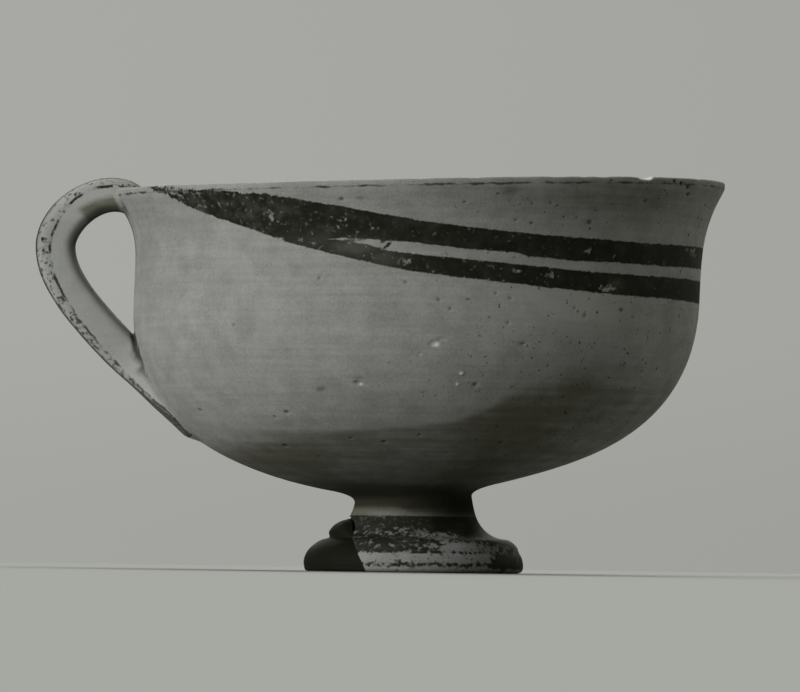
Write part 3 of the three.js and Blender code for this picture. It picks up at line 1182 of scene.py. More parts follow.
@dataclass
class PaintedCup:
    """The thrown cup with its handle, its break, its blemishes and where its paint lies.

    Sizes are in millimetres. The joins say how wide the clay is drawn out over each joint, the sides
    how far along X a part starts, and the laps are places from the lip's outer edge and crest.
    """

    form: CupForm
    handle: HandleForm
    broken: BreakForm
    columns: int = 352
    handle_columns: int = 56
    join_at_lip: float = 0.9
    join_in_cup: float = 2.6
    join_at_root: float = 4.6
    crease_at_root: float = 0.5
    chip_turn: float = 136.0
    chip_radius: float = 3.3
    chip_depth: float = 1.0
    chip_stretch: tuple[float, float, float] = (1.55, 1.2, 1.0)
    nicks: int = 46
    nick_sizes: tuple[float, float] = (0.6, 2.2)
    nick_depths: tuple[float, float] = (0.04, 0.17)
    nick_seed: int = 41
    crest_width: float = 1.1
    crest_shift: float = 0.4
    hidden_pits: int = 14
    hidden_seed: int = 19
    lap_pull: tuple[float, float] = (-3.6, 2.2)
    lap_over: tuple[tuple[float, float], ...] = ((-8.9, -0.6), (-6.0, 1.6), (-3.5, 3.4))
    strap_side: float = -30.0
    lip_zone: float = 82.0
    lip_zone_side: float = -60.0
    between_joints: tuple[float, float] = (62.0, 74.0)
    crease_shade: tuple[float, float] = (0.3, 0.95)
    lip_joint_side: float = -62.0
    lowest_band: float = 55.0
    foot_line: float = 13.75
    foot_top: float = 20.0

    # The bands' edges and the gap between the two bands, each as turn and height.
    upper_edge: tuple[tuple[float, float], ...] = (
        (0, 96.0), (30, 92.5), (45, 91.1), (59, 90.1), (70, 88.1), (80, 86.0), (91, 83.8),
        (103, 82.2), (117, 81.0), (142, 80.1), (180, 80.2),
    )
    gap_top: tuple[tuple[float, float], ...] = (
        (0, 79.4), (69, 79.45), (73, 79.5), (77, 79.45), (87, 78.9), (100, 77.3), (110, 76.7),
        (112, 75.9), (122, 75.2), (149, 74.8), (180, 75.1),
    )
    gap_bottom: tuple[tuple[float, float], ...] = (
        (0, 81.0), (69, 79.6), (73, 79.15), (76, 78.95), (81.5, 77.7), (84.2, 76.6), (92, 75.7),
        (106, 74.3), (123, 72.9), (135, 72.4), (180, 72.0),
    )
    lower_edge: tuple[tuple[float, float], ...] = (
        (0, 99.0), (33, 90.9), (40.6, 87.2), (47.5, 84.5), (56.7, 81.2), (64, 78.3), (75, 75.2),
        (87, 72.2), (97, 70.7), (114, 68.8), (133, 67.4), (180, 66.4),
    )

    # How far the paint of the strap's back runs down its side, by share of its path.
    seam_depths: tuple[tuple[float, float], ...] = (
        (0.0, 2.5), (0.14, 2.8), (0.27, 4.3), (0.4, 3.5), (0.55, 2.7), (0.7, 2.1), (0.84, 1.2),
        (0.92, 1.3), (1.0, 2.0),
    )
    # The height where the bowl's lower part starts to darken, and how dark it gets, by turn.
    darkening_edge: tuple[tuple[float, float], ...] = (
        (0, 29), (30, 31), (52, 33.5), (68, 33.9), (80, 34.7), (91, 35.5), (99, 36.5), (106, 39.0),
        (110, 42.6), (119, 46.8), (128, 50.2), (140, 50.8), (162, 47.6), (180, 46.0),
    )
    darkening_strength: tuple[tuple[float, float], ...] = (
        (0, 0.84), (50, 0.84), (68, 0.6), (85, 0.56), (100, 0.62), (113, 0.88), (125, 0.84),
        (140, 0.66), (160, 0.56), (180, 0.4),
    )
    foot_rubs: tuple[Rub, ...] = (
        Rub(7.6, 9.3, 6.0, 0.95, 0.62),
        Rub(11.5, 6.1, 7.5, 1.5, 0.6),
        Rub(-6.5, 9.8, 4.0, 1.0, 0.16),
    )

    # The larger marks, and the small ones as turn, height and radius.
    marks: tuple[Mark, ...] = (
        Mark(Blemish.FLAKE, 93.8, 54.5, 1.1, 0.7, 0.45),
        Mark(Blemish.PIT, 95.1, 55.7, 1.0, 0.25, 0.3),
        Mark(Blemish.FLAKE, 90.9, 51.9, 0.4, 0.3, 0.2),
        Mark(Blemish.PIT, 112.3, 55.0, 0.8, 0.35, 0.5),
        Mark(Blemish.PIT, 123.2, 55.5, 0.4, 0.3, 0.4),
        Mark(Blemish.PIT, 125.1, 84.5, 0.75, 0.55, 0.5),
        Mark(Blemish.PIT, 108.6, 59.9, 0.3, 0.3, 0.3),
        Mark(Blemish.FLAKE, 78.3, 44.8, 0.5, 0.4, 0.25),
        Mark(Blemish.PIT, 77.5, 45.2, 0.7, 0.4, 0.4),
        Mark(Blemish.GRIT, 99.7, 47.7, 0.5, 0.45, 0.3),
        Mark(Blemish.GRIT, 99.1, 45.2, 0.4, 0.35, 0.25),
    )
    small_pits: tuple[tuple[float, float, float], ...] = (
        (145.0, 95.2, 0.45), (147.4, 94.8, 0.5), (150.3, 94.0, 0.55), (151.8, 92.3, 0.5),
        (138.2, 90.1, 0.5), (115.5, 88.7, 0.3), (112.2, 83.8, 0.35), (108.9, 84.4, 0.3),
        (121.9, 85.5, 0.3), (98.4, 88.3, 0.3), (135.3, 63.8, 0.5), (138.8, 62.2, 0.35),
        (125.7, 62.2, 0.4), (87.7, 69.2, 0.35), (94.3, 65.2, 0.35), (96.6, 63.1, 0.3),
        (105.7, 66.9, 0.3), (108.7, 65.8, 0.3), (157.3, 63.0, 0.4), (123.0, 63.9, 0.3),
        (58.9, 38.0, 0.45), (55.1, 36.9, 0.3), (51.4, 30.1, 0.5), (73.0, 32.0, 0.35),
        (81.7, 31.2, 0.45), (74.2, 28.5, 0.25), (59.2, 27.6, 0.3), (103.0, 45.1, 0.45),
        (91.4, 33.0, 0.35), (114.8, 31.4, 0.5), (109.0, 34.1, 0.3), (120.3, 34.4, 0.3),
        (127.1, 34.1, 0.3), (103.1, 24.0, 0.3), (75.2, 88.6, 0.4), (70.2, 70.0, 0.35),
        (50.5, 58.7, 0.35), (30.7, 38.4, 0.45),
    )
    small_flakes: tuple[tuple[float, float, float], ...] = (
        (68.0, 35.3, 0.22), (72.1, 22.8, 0.25), (112.4, 22.0, 0.2), (122.7, 38.3, 0.2),
        (146.3, 89.2, 0.28),
    )

    brush_marks: tuple[BrushMark, ...] = (
        BrushMark(84.4, 78.2, 82.3, 75.6, 0.42),
        BrushMark(82.9, 79.5, 83.3, 79.0, 0.5),
    )
    worn_patches: tuple[Patch, ...] = (
        Patch(131.5, 69.0, 3.6, 0.8, 0.6),
        Patch(125.5, 77.7, 1.6, 0.7, 0.45),
        Patch(110.5, 72.4, 1.0, 0.8, 0.5),
        Patch(117.3, 71.5, 1.2, 1.6, 0.35),
        Patch(163.6, 78.7, 4.5, 1.1, 0.42),
        Patch(87.9, 74.1, 0.9, 0.6, 0.4),
        Patch(60.5, 84.2, 0.9, 1.3, 0.4),
        Patch(75.5, 83.3, 1.4, 1.2, 0.35),
        Patch(37.0, 91.3, 8.0, 2.4, 0.3),
    )
    washed_patches: tuple[Patch, ...] = (
        Patch(78.0, 77.5, 6.5, 1.9, 1.0),
        Patch(83.6, 75.1, 6.0, 2.2, 0.5),
        Patch(69.4, 78.6, 9.0, 2.2, 0.35),
        Patch(173.8, 78.1, 14.0, 3.5, 0.45),
        Patch(133.7, 70.0, 2.2, 1.3, 1.0),
    )
    smudges: tuple[Patch, ...] = (
        Patch(107.2, 91.2, 2.2, 1.2, 0.7),
        Patch(79.1, 88.9, 0.9, 0.4, 0.6),
        Patch(85.6, 64.1, 0.7, 1.6, 0.5),
        Patch(84.6, 59.8, 1.0, 0.5, 0.5),
        Patch(69.1, 43.5, 1.25, 0.55, 1.0),
        Patch(73.9, 44.4, 1.4, 1.0, 0.35),
        Patch(78.0, 46.5, 1.6, 0.6, 0.5),
        Patch(100.6, 39.2, 1.4, 0.8, 0.55),
        Patch(89.3, 39.6, 4.0, 0.4, 0.4),
        Patch(106.1, 26.6, 1.3, 0.35, 0.95),
        Patch(61.3, 25.5, 1.3, 0.35, 0.95),
        Patch(131.5, 88.0, 6.0, 3.0, 0.4),
        Patch(66.0, 60.0, 1.2, 0.5, 0.25),
    )

    def made(self) -> bpy.types.Object:
        """Returns the finished cup."""
        body = placed("painted_cup", self.thrown())
        strap = placed("strap", self.pulled())
        shaped(strap, Cut.TAKE, placed("inside_wall", self.inside_wall()))
        self.joined(body, strap)
        shaped(body, Cut.TAKE, placed("lip_chip", self.chip()))
        shaped(body, Cut.TAKE, placed("beyond_break", self.broken.slab(0.0)))
        self.marked(body.data)
        finish_mesh(body.data, PaintedClay().made())
        return body

    def thrown(self) -> bpy.types.Mesh:
        """Returns the thrown foot and bowl, settled, with small marks and a worn crest."""
        form = self.form
        base = np.stack(
            [np.linspace(0, form.foot_radius - form.foot_edge_round, 14), np.zeros(14)], axis=1
        )
        angles = np.linspace(math.pi / 2, math.pi - form.lip_flare, 6)
        over = np.stack([np.cos(angles), np.sin(angles)], axis=1)
        flare = (math.cos(form.lip_flare), -math.sin(form.lip_flare))
        crisp = bezier([flare, (1.04, 0.7), (1.15, 1.02), (0.0, 1.0)], 12)
        roll = np.concatenate([crisp[:-1], over]) * form.roll_radius + np.array(form.roll_centre)
        outer = [base[:-1], form.foot_side(), form.bowl_side(56)[:-1], form.wall_side(28)[:-1]]
        inner = form.inner_side(1.0, 22, 34, 12)
        profile = np.concatenate([*outer, roll[:-1], inner])
        outside = sum(len(part) for part in outer)
        give = np.ones(len(profile))
        give[: len(base)] = 0
        give *= smoothstep(profile[:, 0], 0, 8)
        give *= lerp(1.0, 0.2, smoothstep(profile[:, 1], form.lip_height - 6, form.lip_height - 2))
        ridges = np.where(np.arange(len(profile)) < outside, 1.0, 2.2)
        ridges[outside : outside + len(roll)] = 0
        mesh = turned_mesh(
            profile, give, ridges, self.columns, ridge=0.1, pitch=2.6, uneven=0.25, seed=3.0
        )
        self.wear_crest(mesh)
        set_places(mesh, form.settle(places_in(mesh)))
        self.blemish(mesh)
        return mesh

    def wear_crest(self, mesh: bpy.types.Mesh) -> None:
        """Takes small shallow nicks out of the lip's crest."""
        form = self.form
        places = places_in(mesh)
        facings = facings_in(mesh)
        angle = np.arctan2(places[:, 1], places[:, 0])
        rng, count = np.random.default_rng(self.nick_seed), self.nicks
        middles = rng.uniform(-math.pi, math.pi, count)
        sizes, depths = rng.uniform(*self.nick_sizes, count), rng.uniform(*self.nick_depths, count)
        loss = np.zeros(len(places))
        for middle, size, depth in zip(middles, sizes, depths):
            gap = (angle - middle + math.pi) % math.tau - math.pi
            loss += depth * np.exp(-((gap * form.lip_radius / size) ** 2))
        reach = np.hypot(places[:, 0], places[:, 1])
        from_crest = np.hypot(
            reach - form.roll_centre[0] - self.crest_shift, places[:, 2] - form.lip_height
        )
        loss *= np.exp(-((from_crest / self.crest_width) ** 2))
        set_places(mesh, places - facings * loss[:, None])

    def blemish(self, mesh: bpy.types.Mesh) -> None:
        """Refines the outer face round each mark and presses the mark into it, or raises it."""
        form = self.form
        found = [(m, form.outer_place(m.turn, m.height, m.near)) for m in self.all_marks()]
        shape = bmesh.new()
        shape.from_mesh(mesh)
        for size in (2.2, 1.3):
            centres = [Vector(p) for _, p in found]
            near = np.zeros(len(shape.verts), bool)
            places = np.array([v.co[:] for v in shape.verts])
            for (mark, _), centre in zip(found, centres):
                reach = max(mark.wide, mark.tall) * size + 0.5
                near |= ((places - np.array(centre)) ** 2).sum(axis=1) < reach**2
            shape.verts.ensure_lookup_table()
            edges = {
                e for i in np.flatnonzero(near) for f in shape.verts[i].link_faces for e in f.edges
            }
            bmesh.ops.subdivide_edges(shape, edges=list(edges), cuts=1, use_grid_fill=True)
        bmesh.ops.triangulate(shape, faces=[f for f in shape.faces if len(f.verts) > 4])
        shape.normal_update()
        shape.to_mesh(mesh)
        shape.free()
        places, facings = places_in(mesh), facings_in(mesh)
        for mark, centre in found:
            sign = 1 if mark.kind is Blemish.GRIT else -1
            places += facings * (sign * mark.depth * self.hill(mark, centre, places))[:, None]
        set_places(mesh, places)
        self.mark_places = found

    @staticmethod
    def hill(mark: Mark, centre: np.ndarray, places: np.ndarray) -> np.ndarray:
        """Returns the soft hill of a mark, from 0 to 1, at each place."""
        gap = places - centre
        flat = np.array((centre[1], -centre[0], 0)) / max(math.hypot(centre[0], centre[1]), TINY)
        across = gap @ flat
        up = np.sqrt(np.maximum((gap**2).sum(axis=1) - across**2, 0))
        return bump_at(across, up, mark.wide, mark.tall)

    def all_marks(self) -> list[Mark]:
        """Returns every mark, with a few small pits in keeping on the hidden side."""
        small = [Mark(Blemish.PIT, t, h, s * 1.25, s, s * 0.9) for t, h, s in self.small_pits]
        small += [Mark(Blemish.FLAKE, t, h, s, s, s * 0.6) for t, h, s in self.small_flakes]
        rng, count = np.random.default_rng(self.hidden_seed), self.hidden_pits
        turns, heights = rng.uniform(25, 170, count), rng.uniform(30, 92, count)
        sizes, depths = rng.uniform(0.3, 0.6, count), rng.uniform(0.25, 0.45, count)
        return [*self.marks, *small] + [
            Mark(Blemish.PIT, float(t), float(h), float(s), float(s * 0.8), float(d), near=False)
            for t, h, s, d in zip(turns, heights, sizes, depths)
        ]

    def pulled(self) -> bpy.types.Mesh:
        """Returns the handle's strap, with closed ends inside the lip and the wall."""
        handle = self.handle
        rows = np.concatenate([[0], np.arange(handle.rows), [handle.rows - 1]])
        ends = np.ones(len(rows))
        ends[[0, -1]] = 0
        guide = guide_line(
            "strap_path",
            np.stack([handle.path[rows, 0], np.zeros(len(rows)), handle.path[rows, 1]], axis=1),
            {
                "half_width": handle.half_width[rows] * ends,
                "half_thickness": handle.half_thickness[rows] * ends,
                "give": ends,
            },
            np.stack([handle.facing[rows, 0], np.zeros(len(rows)), handle.facing[rows, 1]], axis=1),
        )
        sizes = {
            "Columns": self.handle_columns,
            "Rows": len(rows),
            "Unevenness": 0.35,
            "Unevenness Size": 9.0,
            "Seed": 6.0,
        }
        mesh = grown_from(guide, strap_tree(), sizes)
        dropped(guide)
        return mesh

    def inside_wall(self) -> bpy.types.Mesh:
        """Returns what lies inside the wall's middle, but for a lap of clay over the lip."""
        form = self.form
        face = form.inner_side(0.5, 40, 24, 8)[::-1]
        face = face[face[:, 1] < form.lip_height - self.handle.lap_drop]
        crest, top = form.lip_height, form.lip_height + self.handle.thickness
        start = tuple(face[-1])
        pull = (start[0] + self.lap_pull[0], start[1] + self.lap_pull[1])
        over = bezier(
            [start, pull, *((form.lip_radius + x, crest + z) for x, z in self.lap_over)], 16
        )
        profile = np.concatenate([face[:-1], over, [(over[-1][0], top), (0.0, top)]])
        still = np.zeros(len(profile))
        mesh = turned_mesh(profile, still, still, 180)
        set_places(mesh, form.settle(places_in(mesh)))
        return mesh

    def joined(self, body: bpy.types.Object, strap: bpy.types.Object) -> None:
        """Joins the strap to the cup, with clay drawn out over each joint.

        Args:
            body: the cup.
            strap: the handle's strap, which goes into the cup.
        """
        on_body, on_strap = surface_of(body.data), surface_of(strap.data)
        reach = self.join_at_root
        for mesh, other in ((body.data, on_strap), (strap.data, on_body)):
            places, facings = places_in(mesh), facings_in(mesh)
            chosen = np.flatnonzero(self.near_joint(places))
            gap = clearances(places[chosen], other, reach)
            soft = self.softness(places[chosen])
            lift = np.maximum(soft - np.abs(gap), 0) ** 2 / (4 * soft)
            places[chosen] += facings[chosen] * lift[:, None]
            set_places(mesh, places)
        on_body, on_strap = surface_of(body.data), surface_of(strap.data)
        shaped(body, Cut.ADD, strap)
        self.smooth_joint(body.data, on_body, on_strap)

    def outside(self, places: np.ndarray) -> np.ndarray:
        """Returns whether each place lies on the cup's outer face or further out."""
        flat = self.form.unsettle(places)
        middle = np.interp(flat[:, 2], self.form.middle_heights, self.form.middle_radii)
        return np.hypot(flat[:, 0], flat[:, 1]) > middle

    def near_joint(self, places: np.ndarray) -> np.ndarray:
        """Returns whether each place may lie on one of the handle's joints."""
        x, y, z = places.T
        over_lip = (x < self.lip_zone_side) & (np.abs(y) < self.handle.width) & (z > self.lip_zone)
        return over_lip | (x < self.strap_side) & self.outside(places)

    def softness(self, places: np.ndarray) -> np.ndarray:
        """Returns how wide the joint between strap and cup is drawn out at each place."""
        handle = self.handle
        root, facing = handle.path[-1], handle.facing[-1]
        under = (places[:, [0, 2]] - root) @ facing
        low = lerp(self.crease_at_root, self.join_at_root, smoothstep(under, -2.5, 2.5))
        high = lerp(low, self.join_at_lip, smoothstep(places[:, 2], *self.between_joints))
        inside = (places[:, 2] > self.lip_zone) & ~self.outside(places)
        return np.where(inside, self.join_in_cup, high)

    def smooth_joint(self, mesh: bpy.types.Mesh, on_body: BVHTree, on_strap: BVHTree) -> None:
        """Smooths the cup close to the line where strap and wall met.

        Args:
            mesh: the joined mesh.
            on_body: the cup's surface before they were joined.
            on_strap: the strap's surface before they were joined.
        """
        shape = bmesh.new()
        shape.from_mesh(mesh)
        places = np.array([v.co[:] for v in shape.verts])
        chosen = np.flatnonzero(self.near_joint(places))
        near_both = np.abs(clearances(places[chosen], on_body, 4)) < 0.02
        near_both &= np.abs(clearances(places[chosen], on_strap, 4)) < 0.02
        seam = places[chosen][near_both]
        self.joint_line = seam
        shape.verts.ensure_lookup_table()
        if len(seam):
            gaps = np.full(len(places), 99.0)
            for i in chosen:
                gaps[i] = math.sqrt(((seam - places[i]) ** 2).sum(axis=1).min())
            soft = self.softness(places)
            close = [shape.verts[i] for i in np.flatnonzero(gaps < 0.35 * np.maximum(soft, 1.4))]
            bmesh.ops.remove_doubles(shape, verts=close, dist=0.12)
            close = [v for v in close if v.is_valid]
            axes = {"use_axis_x": True, "use_axis_y": True, "use_axis_z": True}
            for _ in range(9):
                bmesh.ops.smooth_vert(shape, verts=close, factor=0.5, **axes)
        bmesh.ops.dissolve_degenerate(shape, dist=1e-4, edges=shape.edges)
        shape.to_mesh(mesh)
        shape.free()

    def chip(self) -> bpy.types.Mesh:
        """Returns the hollow of the chip in the lip, a lumpy ball that dips into the crest."""
        shape = bmesh.new()
        bmesh.ops.create_icosphere(shape, subdivisions=4, radius=self.chip_radius)
        mesh = bpy.data.meshes.new("lip_chip")
        shape.to_mesh(mesh)
        shape.free()
        ball = places_in(mesh)
        waves = np.sin(ball @ (1.9, 1.3, 0.7)) + np.sin(ball @ (-1.1, 2.3, 1.6)) * 0.6
        lumpy = ball * (1 + 0.03 * waves[:, None]) * self.chip_stretch
        set_places(mesh, lumpy + self.chip_centre())
        return mesh

    def chip_centre(self) -> np.ndarray:
        """Returns the middle of the chip's ball, above the lip's crest."""
        form, angle = self.form, math.radians(self.chip_turn)
        radius = form.roll_centre[0]
        crest = (-radius * math.cos(angle), -radius * math.sin(angle), form.lip_height)
        return form.settle(np.array([crest]))[0] + (0, 0, self.chip_radius - self.chip_depth)

    def marked(self, mesh: bpy.types.Mesh) -> None:
        """Writes where paint, wear, stains, marks, painted shade and painted light lie, for the
        finish to read.

        Args:
            mesh: the cup's mesh, in millimetres.
        """
        form, places = self.form, places_in(mesh)
        flat = form.unsettle(places)
        reach = np.hypot(flat[:, 0], flat[:, 1])
        turn = np.degrees(np.arctan2(np.abs(places[:, 1]), -places[:, 0]))
        high = places[:, 2]
        outer = np.interp(flat[:, 2], form.outer_heights, form.outer_radii)
        outside = self.outside(places)
        share, out, face = self.handle.beside(places)
        crest = form.crest_height(places)
        on_strap = smoothstep(reach - outer, 0.4, 1.6) * outside * (places[:, 0] < self.strap_side)
        over_lip = (places[:, 0] < self.lip_joint_side) & (np.abs(places[:, 1]) < self.handle.width)
        on_strap = np.maximum(on_strap, smoothstep(high - crest, 0.15, 0.7) * over_lip)

        band = self.band(turn, high)
        for mark in self.brush_marks:
            band = np.maximum(band, self.brushed(mark, turn, high))
        band = np.where(outside & (high > self.lowest_band), band, OFF_PAINT)
        band = lerp(band, OFF_PAINT, on_strap)
        below = np.where(outside, crest - high, -OFF_PAINT)
        below = lerp(below, -OFF_PAINT, on_strap * smoothstep(reach - outer, 3, 6))
        seam = np.interp(share, *zip(*self.seam_depths))
        back = np.where(on_strap > 0.3, out - (face - seam), OFF_PAINT)
        outer_edge = np.where(on_strap > 0.3, out - face + 0.45, OFF_PAINT) + 0.5 * (on_strap - 1)
        foot_paint = np.where(high < 30, self.foot_line - high, OFF_PAINT)
        low = high < self.foot_top
        bare = smoothstep(places[:, 0], 2, 6) * smoothstep(high, 8, 9)

        set_marks(mesh, "band", band)
        set_marks(mesh, "below_lip", below)
        set_marks(mesh, "back", back)
        set_marks(mesh, "foot_paint", foot_paint)
        set_marks(mesh, "outer_edge", outer_edge)
        set_marks(mesh, "worn", self.worn(places, turn, high, on_strap, share))
        wash = np.where(low, lerp(0.16, 0.0, bare), 0.0)
        wash = np.maximum(wash, self.patches(self.washed_patches, turn, high, reach))
        set_marks(mesh, "wash", np.maximum(wash, 0.95 * on_strap * smoothstep(share, 0.36, 0.5)))
        set_marks(mesh, "patchy", np.where(low, 0.42, lerp(0.75, 0.3, smoothstep(turn, 50, 95))))
        set_marks(mesh, "ragged", bump_at(turn - 40, high - 91, 22, 4))
        # The strap's inner face near the lip is made darker.
        under_strap = (1 - smoothstep(share, 0.17, 0.2)) * (1 - smoothstep(out, -1.6, 0.2)) * 0.75
        # Smudges, a darker lower bowl, and painted shade under the bowl, round the waist and on the
        # stem.
        stain_and_shade = self.stain_and_shade(turn, high, reach, outside, on_strap)
        set_marks(mesh, "stain_and_shade", np.maximum(stain_and_shade, on_strap * under_strap))
        set_marks(mesh, "grimy", lerp(0.15, 1.0, smoothstep(turn, 75, 125)) * outside)
        # Painted light on the handle and a broad patch of the bowl.
        set_marks(mesh, "painted_light", self.painted_light(turn, high, reach, outside, on_strap))
        pit, fresh = self.spots(places)
        # Painted shade round the waist goes into the pits' mark.
        pit = np.maximum(pit, self.soot_and_shade(places, high) * outside)
        # Painted shade where the handle meets the cup goes into it too.
        pit = np.maximum(pit, self.joint_shade(places, high, outside))
        set_marks(mesh, "pit", pit)
        set_marks(mesh, "fresh", fresh)

    @staticmethod
    def brushed(mark: "BrushMark", turn: np.ndarray, high: np.ndarray) -> np.ndarray:
        """Returns how deep inside a short brush mark each place lies, in mm."""
        across, up = np.radians(turn - mark.turn) * mark.reach, high - mark.height
        along = math.radians(mark.end_turn - mark.turn) * mark.reach
        end = np.array((along, mark.end_height - mark.height))
        share = clamp((across * end[0] + up * end[1]) / max(float(end @ end), TINY), 0, 1)
        return mark.half_width - np.hypot(across - share * end[0], up - share * end[1])

    def band(self, turn: np.ndarray, high: np.ndarray) -> np.ndarray:
        """Returns how deep inside the painted bands a place lies, in mm."""
        upper, lower = self.edge(self.upper_edge, turn), self.edge(self.lower_edge, turn)
        top, bottom = self.edge(self.gap_top, turn), self.edge(self.gap_bottom, turn)
        gap = np.minimum(top - high, high - bottom)
        return np.minimum(np.minimum(upper - high, high - lower), -gap)

    @staticmethod
    def edge(points: tuple[tuple[float, float], ...], turn: np.ndarray) -> np.ndarray:
        """Returns a band edge's height at each turn, smoothed between its given points."""
        turns, heights = np.array(points).T
        fine = np.linspace(0, 180, 361)
        line = np.interp(fine, turns, heights)
        kernel = np.hanning(11) / np.hanning(11).sum()
        padded = np.pad(line, 5, mode="reflect", reflect_type="odd")
        return np.interp(turn, fine, np.convolve(padded, kernel, mode="valid"))

    @staticmethod
    def patches(
        patches: tuple[Patch, ...], turn: np.ndarray, high: np.ndarray, reach: np.ndarray
    ) -> np.ndarray:
        """Returns the strongest of some soft patches at each place."""
        total = np.zeros(len(turn))
        for p in patches:
            across = np.radians(turn - p.turn) * reach
            total = np.maximum(total, p.strength * bump_at(across, high - p.height, p.wide, p.tall))
        return total

    def worn(
        self,
        places: np.ndarray,
        turn: np.ndarray,
        high: np.ndarray,
        on_strap: np.ndarray,
        share: np.ndarray,
    ) -> np.ndarray:
        """How worn the paint is.

        Args:
            places: the points.
            turn: their angles from the handle, in degrees.
            high: their heights.
            on_strap: how far each is part of the handle, from 0 to 1.
            share: how far along the handle's path each lies.

        Returns:
            A number from 0, whole, to 1, bare.
        """
        reach = np.hypot(places[:, 0], places[:, 1])
        bands = self.patches(self.worn_patches, turn, high, reach)
        bands = lerp(0.1, 0.03, smoothstep(turn, 60, 110)) + bands
        strap = lerp(0.62, 0.54, smoothstep(share, 0.4, 0.5))
        foot = self.worn_foot(places[:, 0], high)
        return np.where(high < 22, foot, lerp(bands, strap, on_strap))

    def worn_foot(self, across: np.ndarray, high: np.ndarray) -> np.ndarray:
        """Returns how worn the foot's paint is, by distance toward +X and height."""
        right = smoothstep(across, 2, 6)
        foot = lerp(0.2, -0.15, right * smoothstep(high, 8.2, 9.6))
        for rub in self.foot_rubs:
            hill = bump_at(across - rub.across, high - rub.height, rub.wide, rub.tall)
            foot = foot + rub.strength * hill
        toe = lerp(0.72, 0.3, smoothstep(high, 4.4, 5.2))
        toe = toe - 0.4 * np.exp(-(((high - 2.0) / 0.55) ** 2))
        foot = lerp(toe, foot, smoothstep(high, 4.6, 5.4))
        rubbed = smoothstep(high, 4.6, 5.2) * (1 - smoothstep(high, 7.0, 7.8))
        kept = (0.45 * smoothstep(high, 0.6, 1.6) + 0.1) * (1 - 0.95 * rubbed)
        foot = foot - kept * smoothstep(across, 18.0, 21.0)
        return foot + 0.2 * rubbed * smoothstep(across, 16.0, 20.0)

    def stain_and_shade(
        self,
        turn: np.ndarray,
        high: np.ndarray,
        reach: np.ndarray,
        outside: np.ndarray,
        on_strap: np.ndarray,
    ) -> np.ndarray:
        """How dark the clay is made, by smudges, a darker lower bowl and painted shade.

        Args:
            turn: the points' angles from the handle, in degrees.
            high: their heights.
            reach: how far they lie from the axis.
            outside: whether they lie on the outside.
            on_strap: how far each is part of the handle, from 0 to 1.

        Returns:
            A number from 0, untouched, to 1, dark.
        """
        # The bowl darkens toward the bottom, below an edge that varies by turn.
        edge = np.interp(turn, *zip(*self.darkening_edge))
        begins, above_line, waist, under_bowl = (9, 13), (14.8, 15.8), (17, 24), (19, 27)
        soft = 1.2 + 3.5 * (1 - smoothstep(turn, 45, 75)) + 6.5 * smoothstep(turn, 104, 125)
        strong = np.interp(turn, *zip(*self.darkening_strength))
        low = strong * (1 - smoothstep(high, edge - soft, edge + 0.6 * soft))
        # Painted shade on the bowl's underside close to the stem.
        low = np.maximum(low, 0.72 * (1 - smoothstep(high, *under_bowl)))
        # Painted shade on the stem just above the foot's paint, darker toward +X, with a spot of
        # painted light toward -X.
        across = -reach * np.cos(np.radians(turn))
        pale = 0.35 * bump_at(across + 6.5, high - 14.2, 4.5, 0.6)
        line = 0.78 + 0.18 * smoothstep(across, 0, 7) - pale
        # Painted shade round the waist.
        low = np.maximum(low, 0.95 * (1 - smoothstep(high, *waist)))
        low = lerp(line, low, smoothstep(high, *above_line))
        low *= smoothstep(high, *begins)
        # A darker patch near the lip, away from the handle.
        top = 0.56 * bump_at(turn - 137, high - 91, 27, 7)
        smudged = self.patches(self.smudges, turn, high, reach)
        return np.maximum(np.maximum(low, top), smudged) * outside * (1 - on_strap)

    @staticmethod
    def soot_and_shade(places: np.ndarray, high: np.ndarray) -> np.ndarray:
        """Returns the painted shade round the waist, up to where the bowl starts, and low on the
        stem.
        """
        low = lerp(15.5, 14.5, smoothstep(places[:, 0], -5, 0))
        waist = smoothstep(high - low, -0.3, 0.9) * (1 - smoothstep(high, 18.5, 23))
        line = smoothstep(high, 13.6, 13.9) * (1 - smoothstep(high, 16, 17))
        line = 0.55 * smoothstep(places[:, 0], 2, 9) * line
        return np.maximum(waist * lerp(0.82, 0.95, smoothstep(places[:, 0], -8, 10)), line)

    def joint_shade(self, places: np.ndarray, high: np.ndarray, outside: np.ndarray) -> np.ndarray:
        """How much painted shade each place gets where the handle meets the cup.

        Args:
            places: the points.
            high: their heights.
            outside: whether they lie on the outside.

        Returns:
            A number from 0, none, to 1, black.
        """
        x, y = places[:, 0], np.abs(places[:, 1])
        crease = np.zeros(len(places))
        root_starts, root_ends = (43, 51), (56, 60)
        back_starts, back_ends, back_width = (73, 80), (88, 91), (5.5, 8.5)
        # Painted shade in the crease along the root's joint line.
        beside_root = (x < -48) & (y < 30) & (high > 42) & (high < 62)
        for i in np.flatnonzero(beside_root):
            gap = math.sqrt(((self.joint_line - places[i]) ** 2).sum(axis=1).min())
            crease[i] = 1 - smoothstep(gap, *self.crease_shade)
        crease *= smoothstep(high, *root_starts) * (1 - smoothstep(high, *root_ends))
        # Painted shadow of the strap on the wall behind it, inside the loop.
        behind = smoothstep(high, *back_starts) * (1 - smoothstep(high, *back_ends)) * (x < -50)
        behind = 0.7 * (1 - smoothstep(y, *back_width)) * behind
        # Painted shade under the strap's top joint.
        under = 0.8 * bump_at(x + 71.0, high - 88.6, 1.1, 2.6) * (y < 14)
        return np.maximum(np.maximum(crease * 0.9, behind), under) * outside

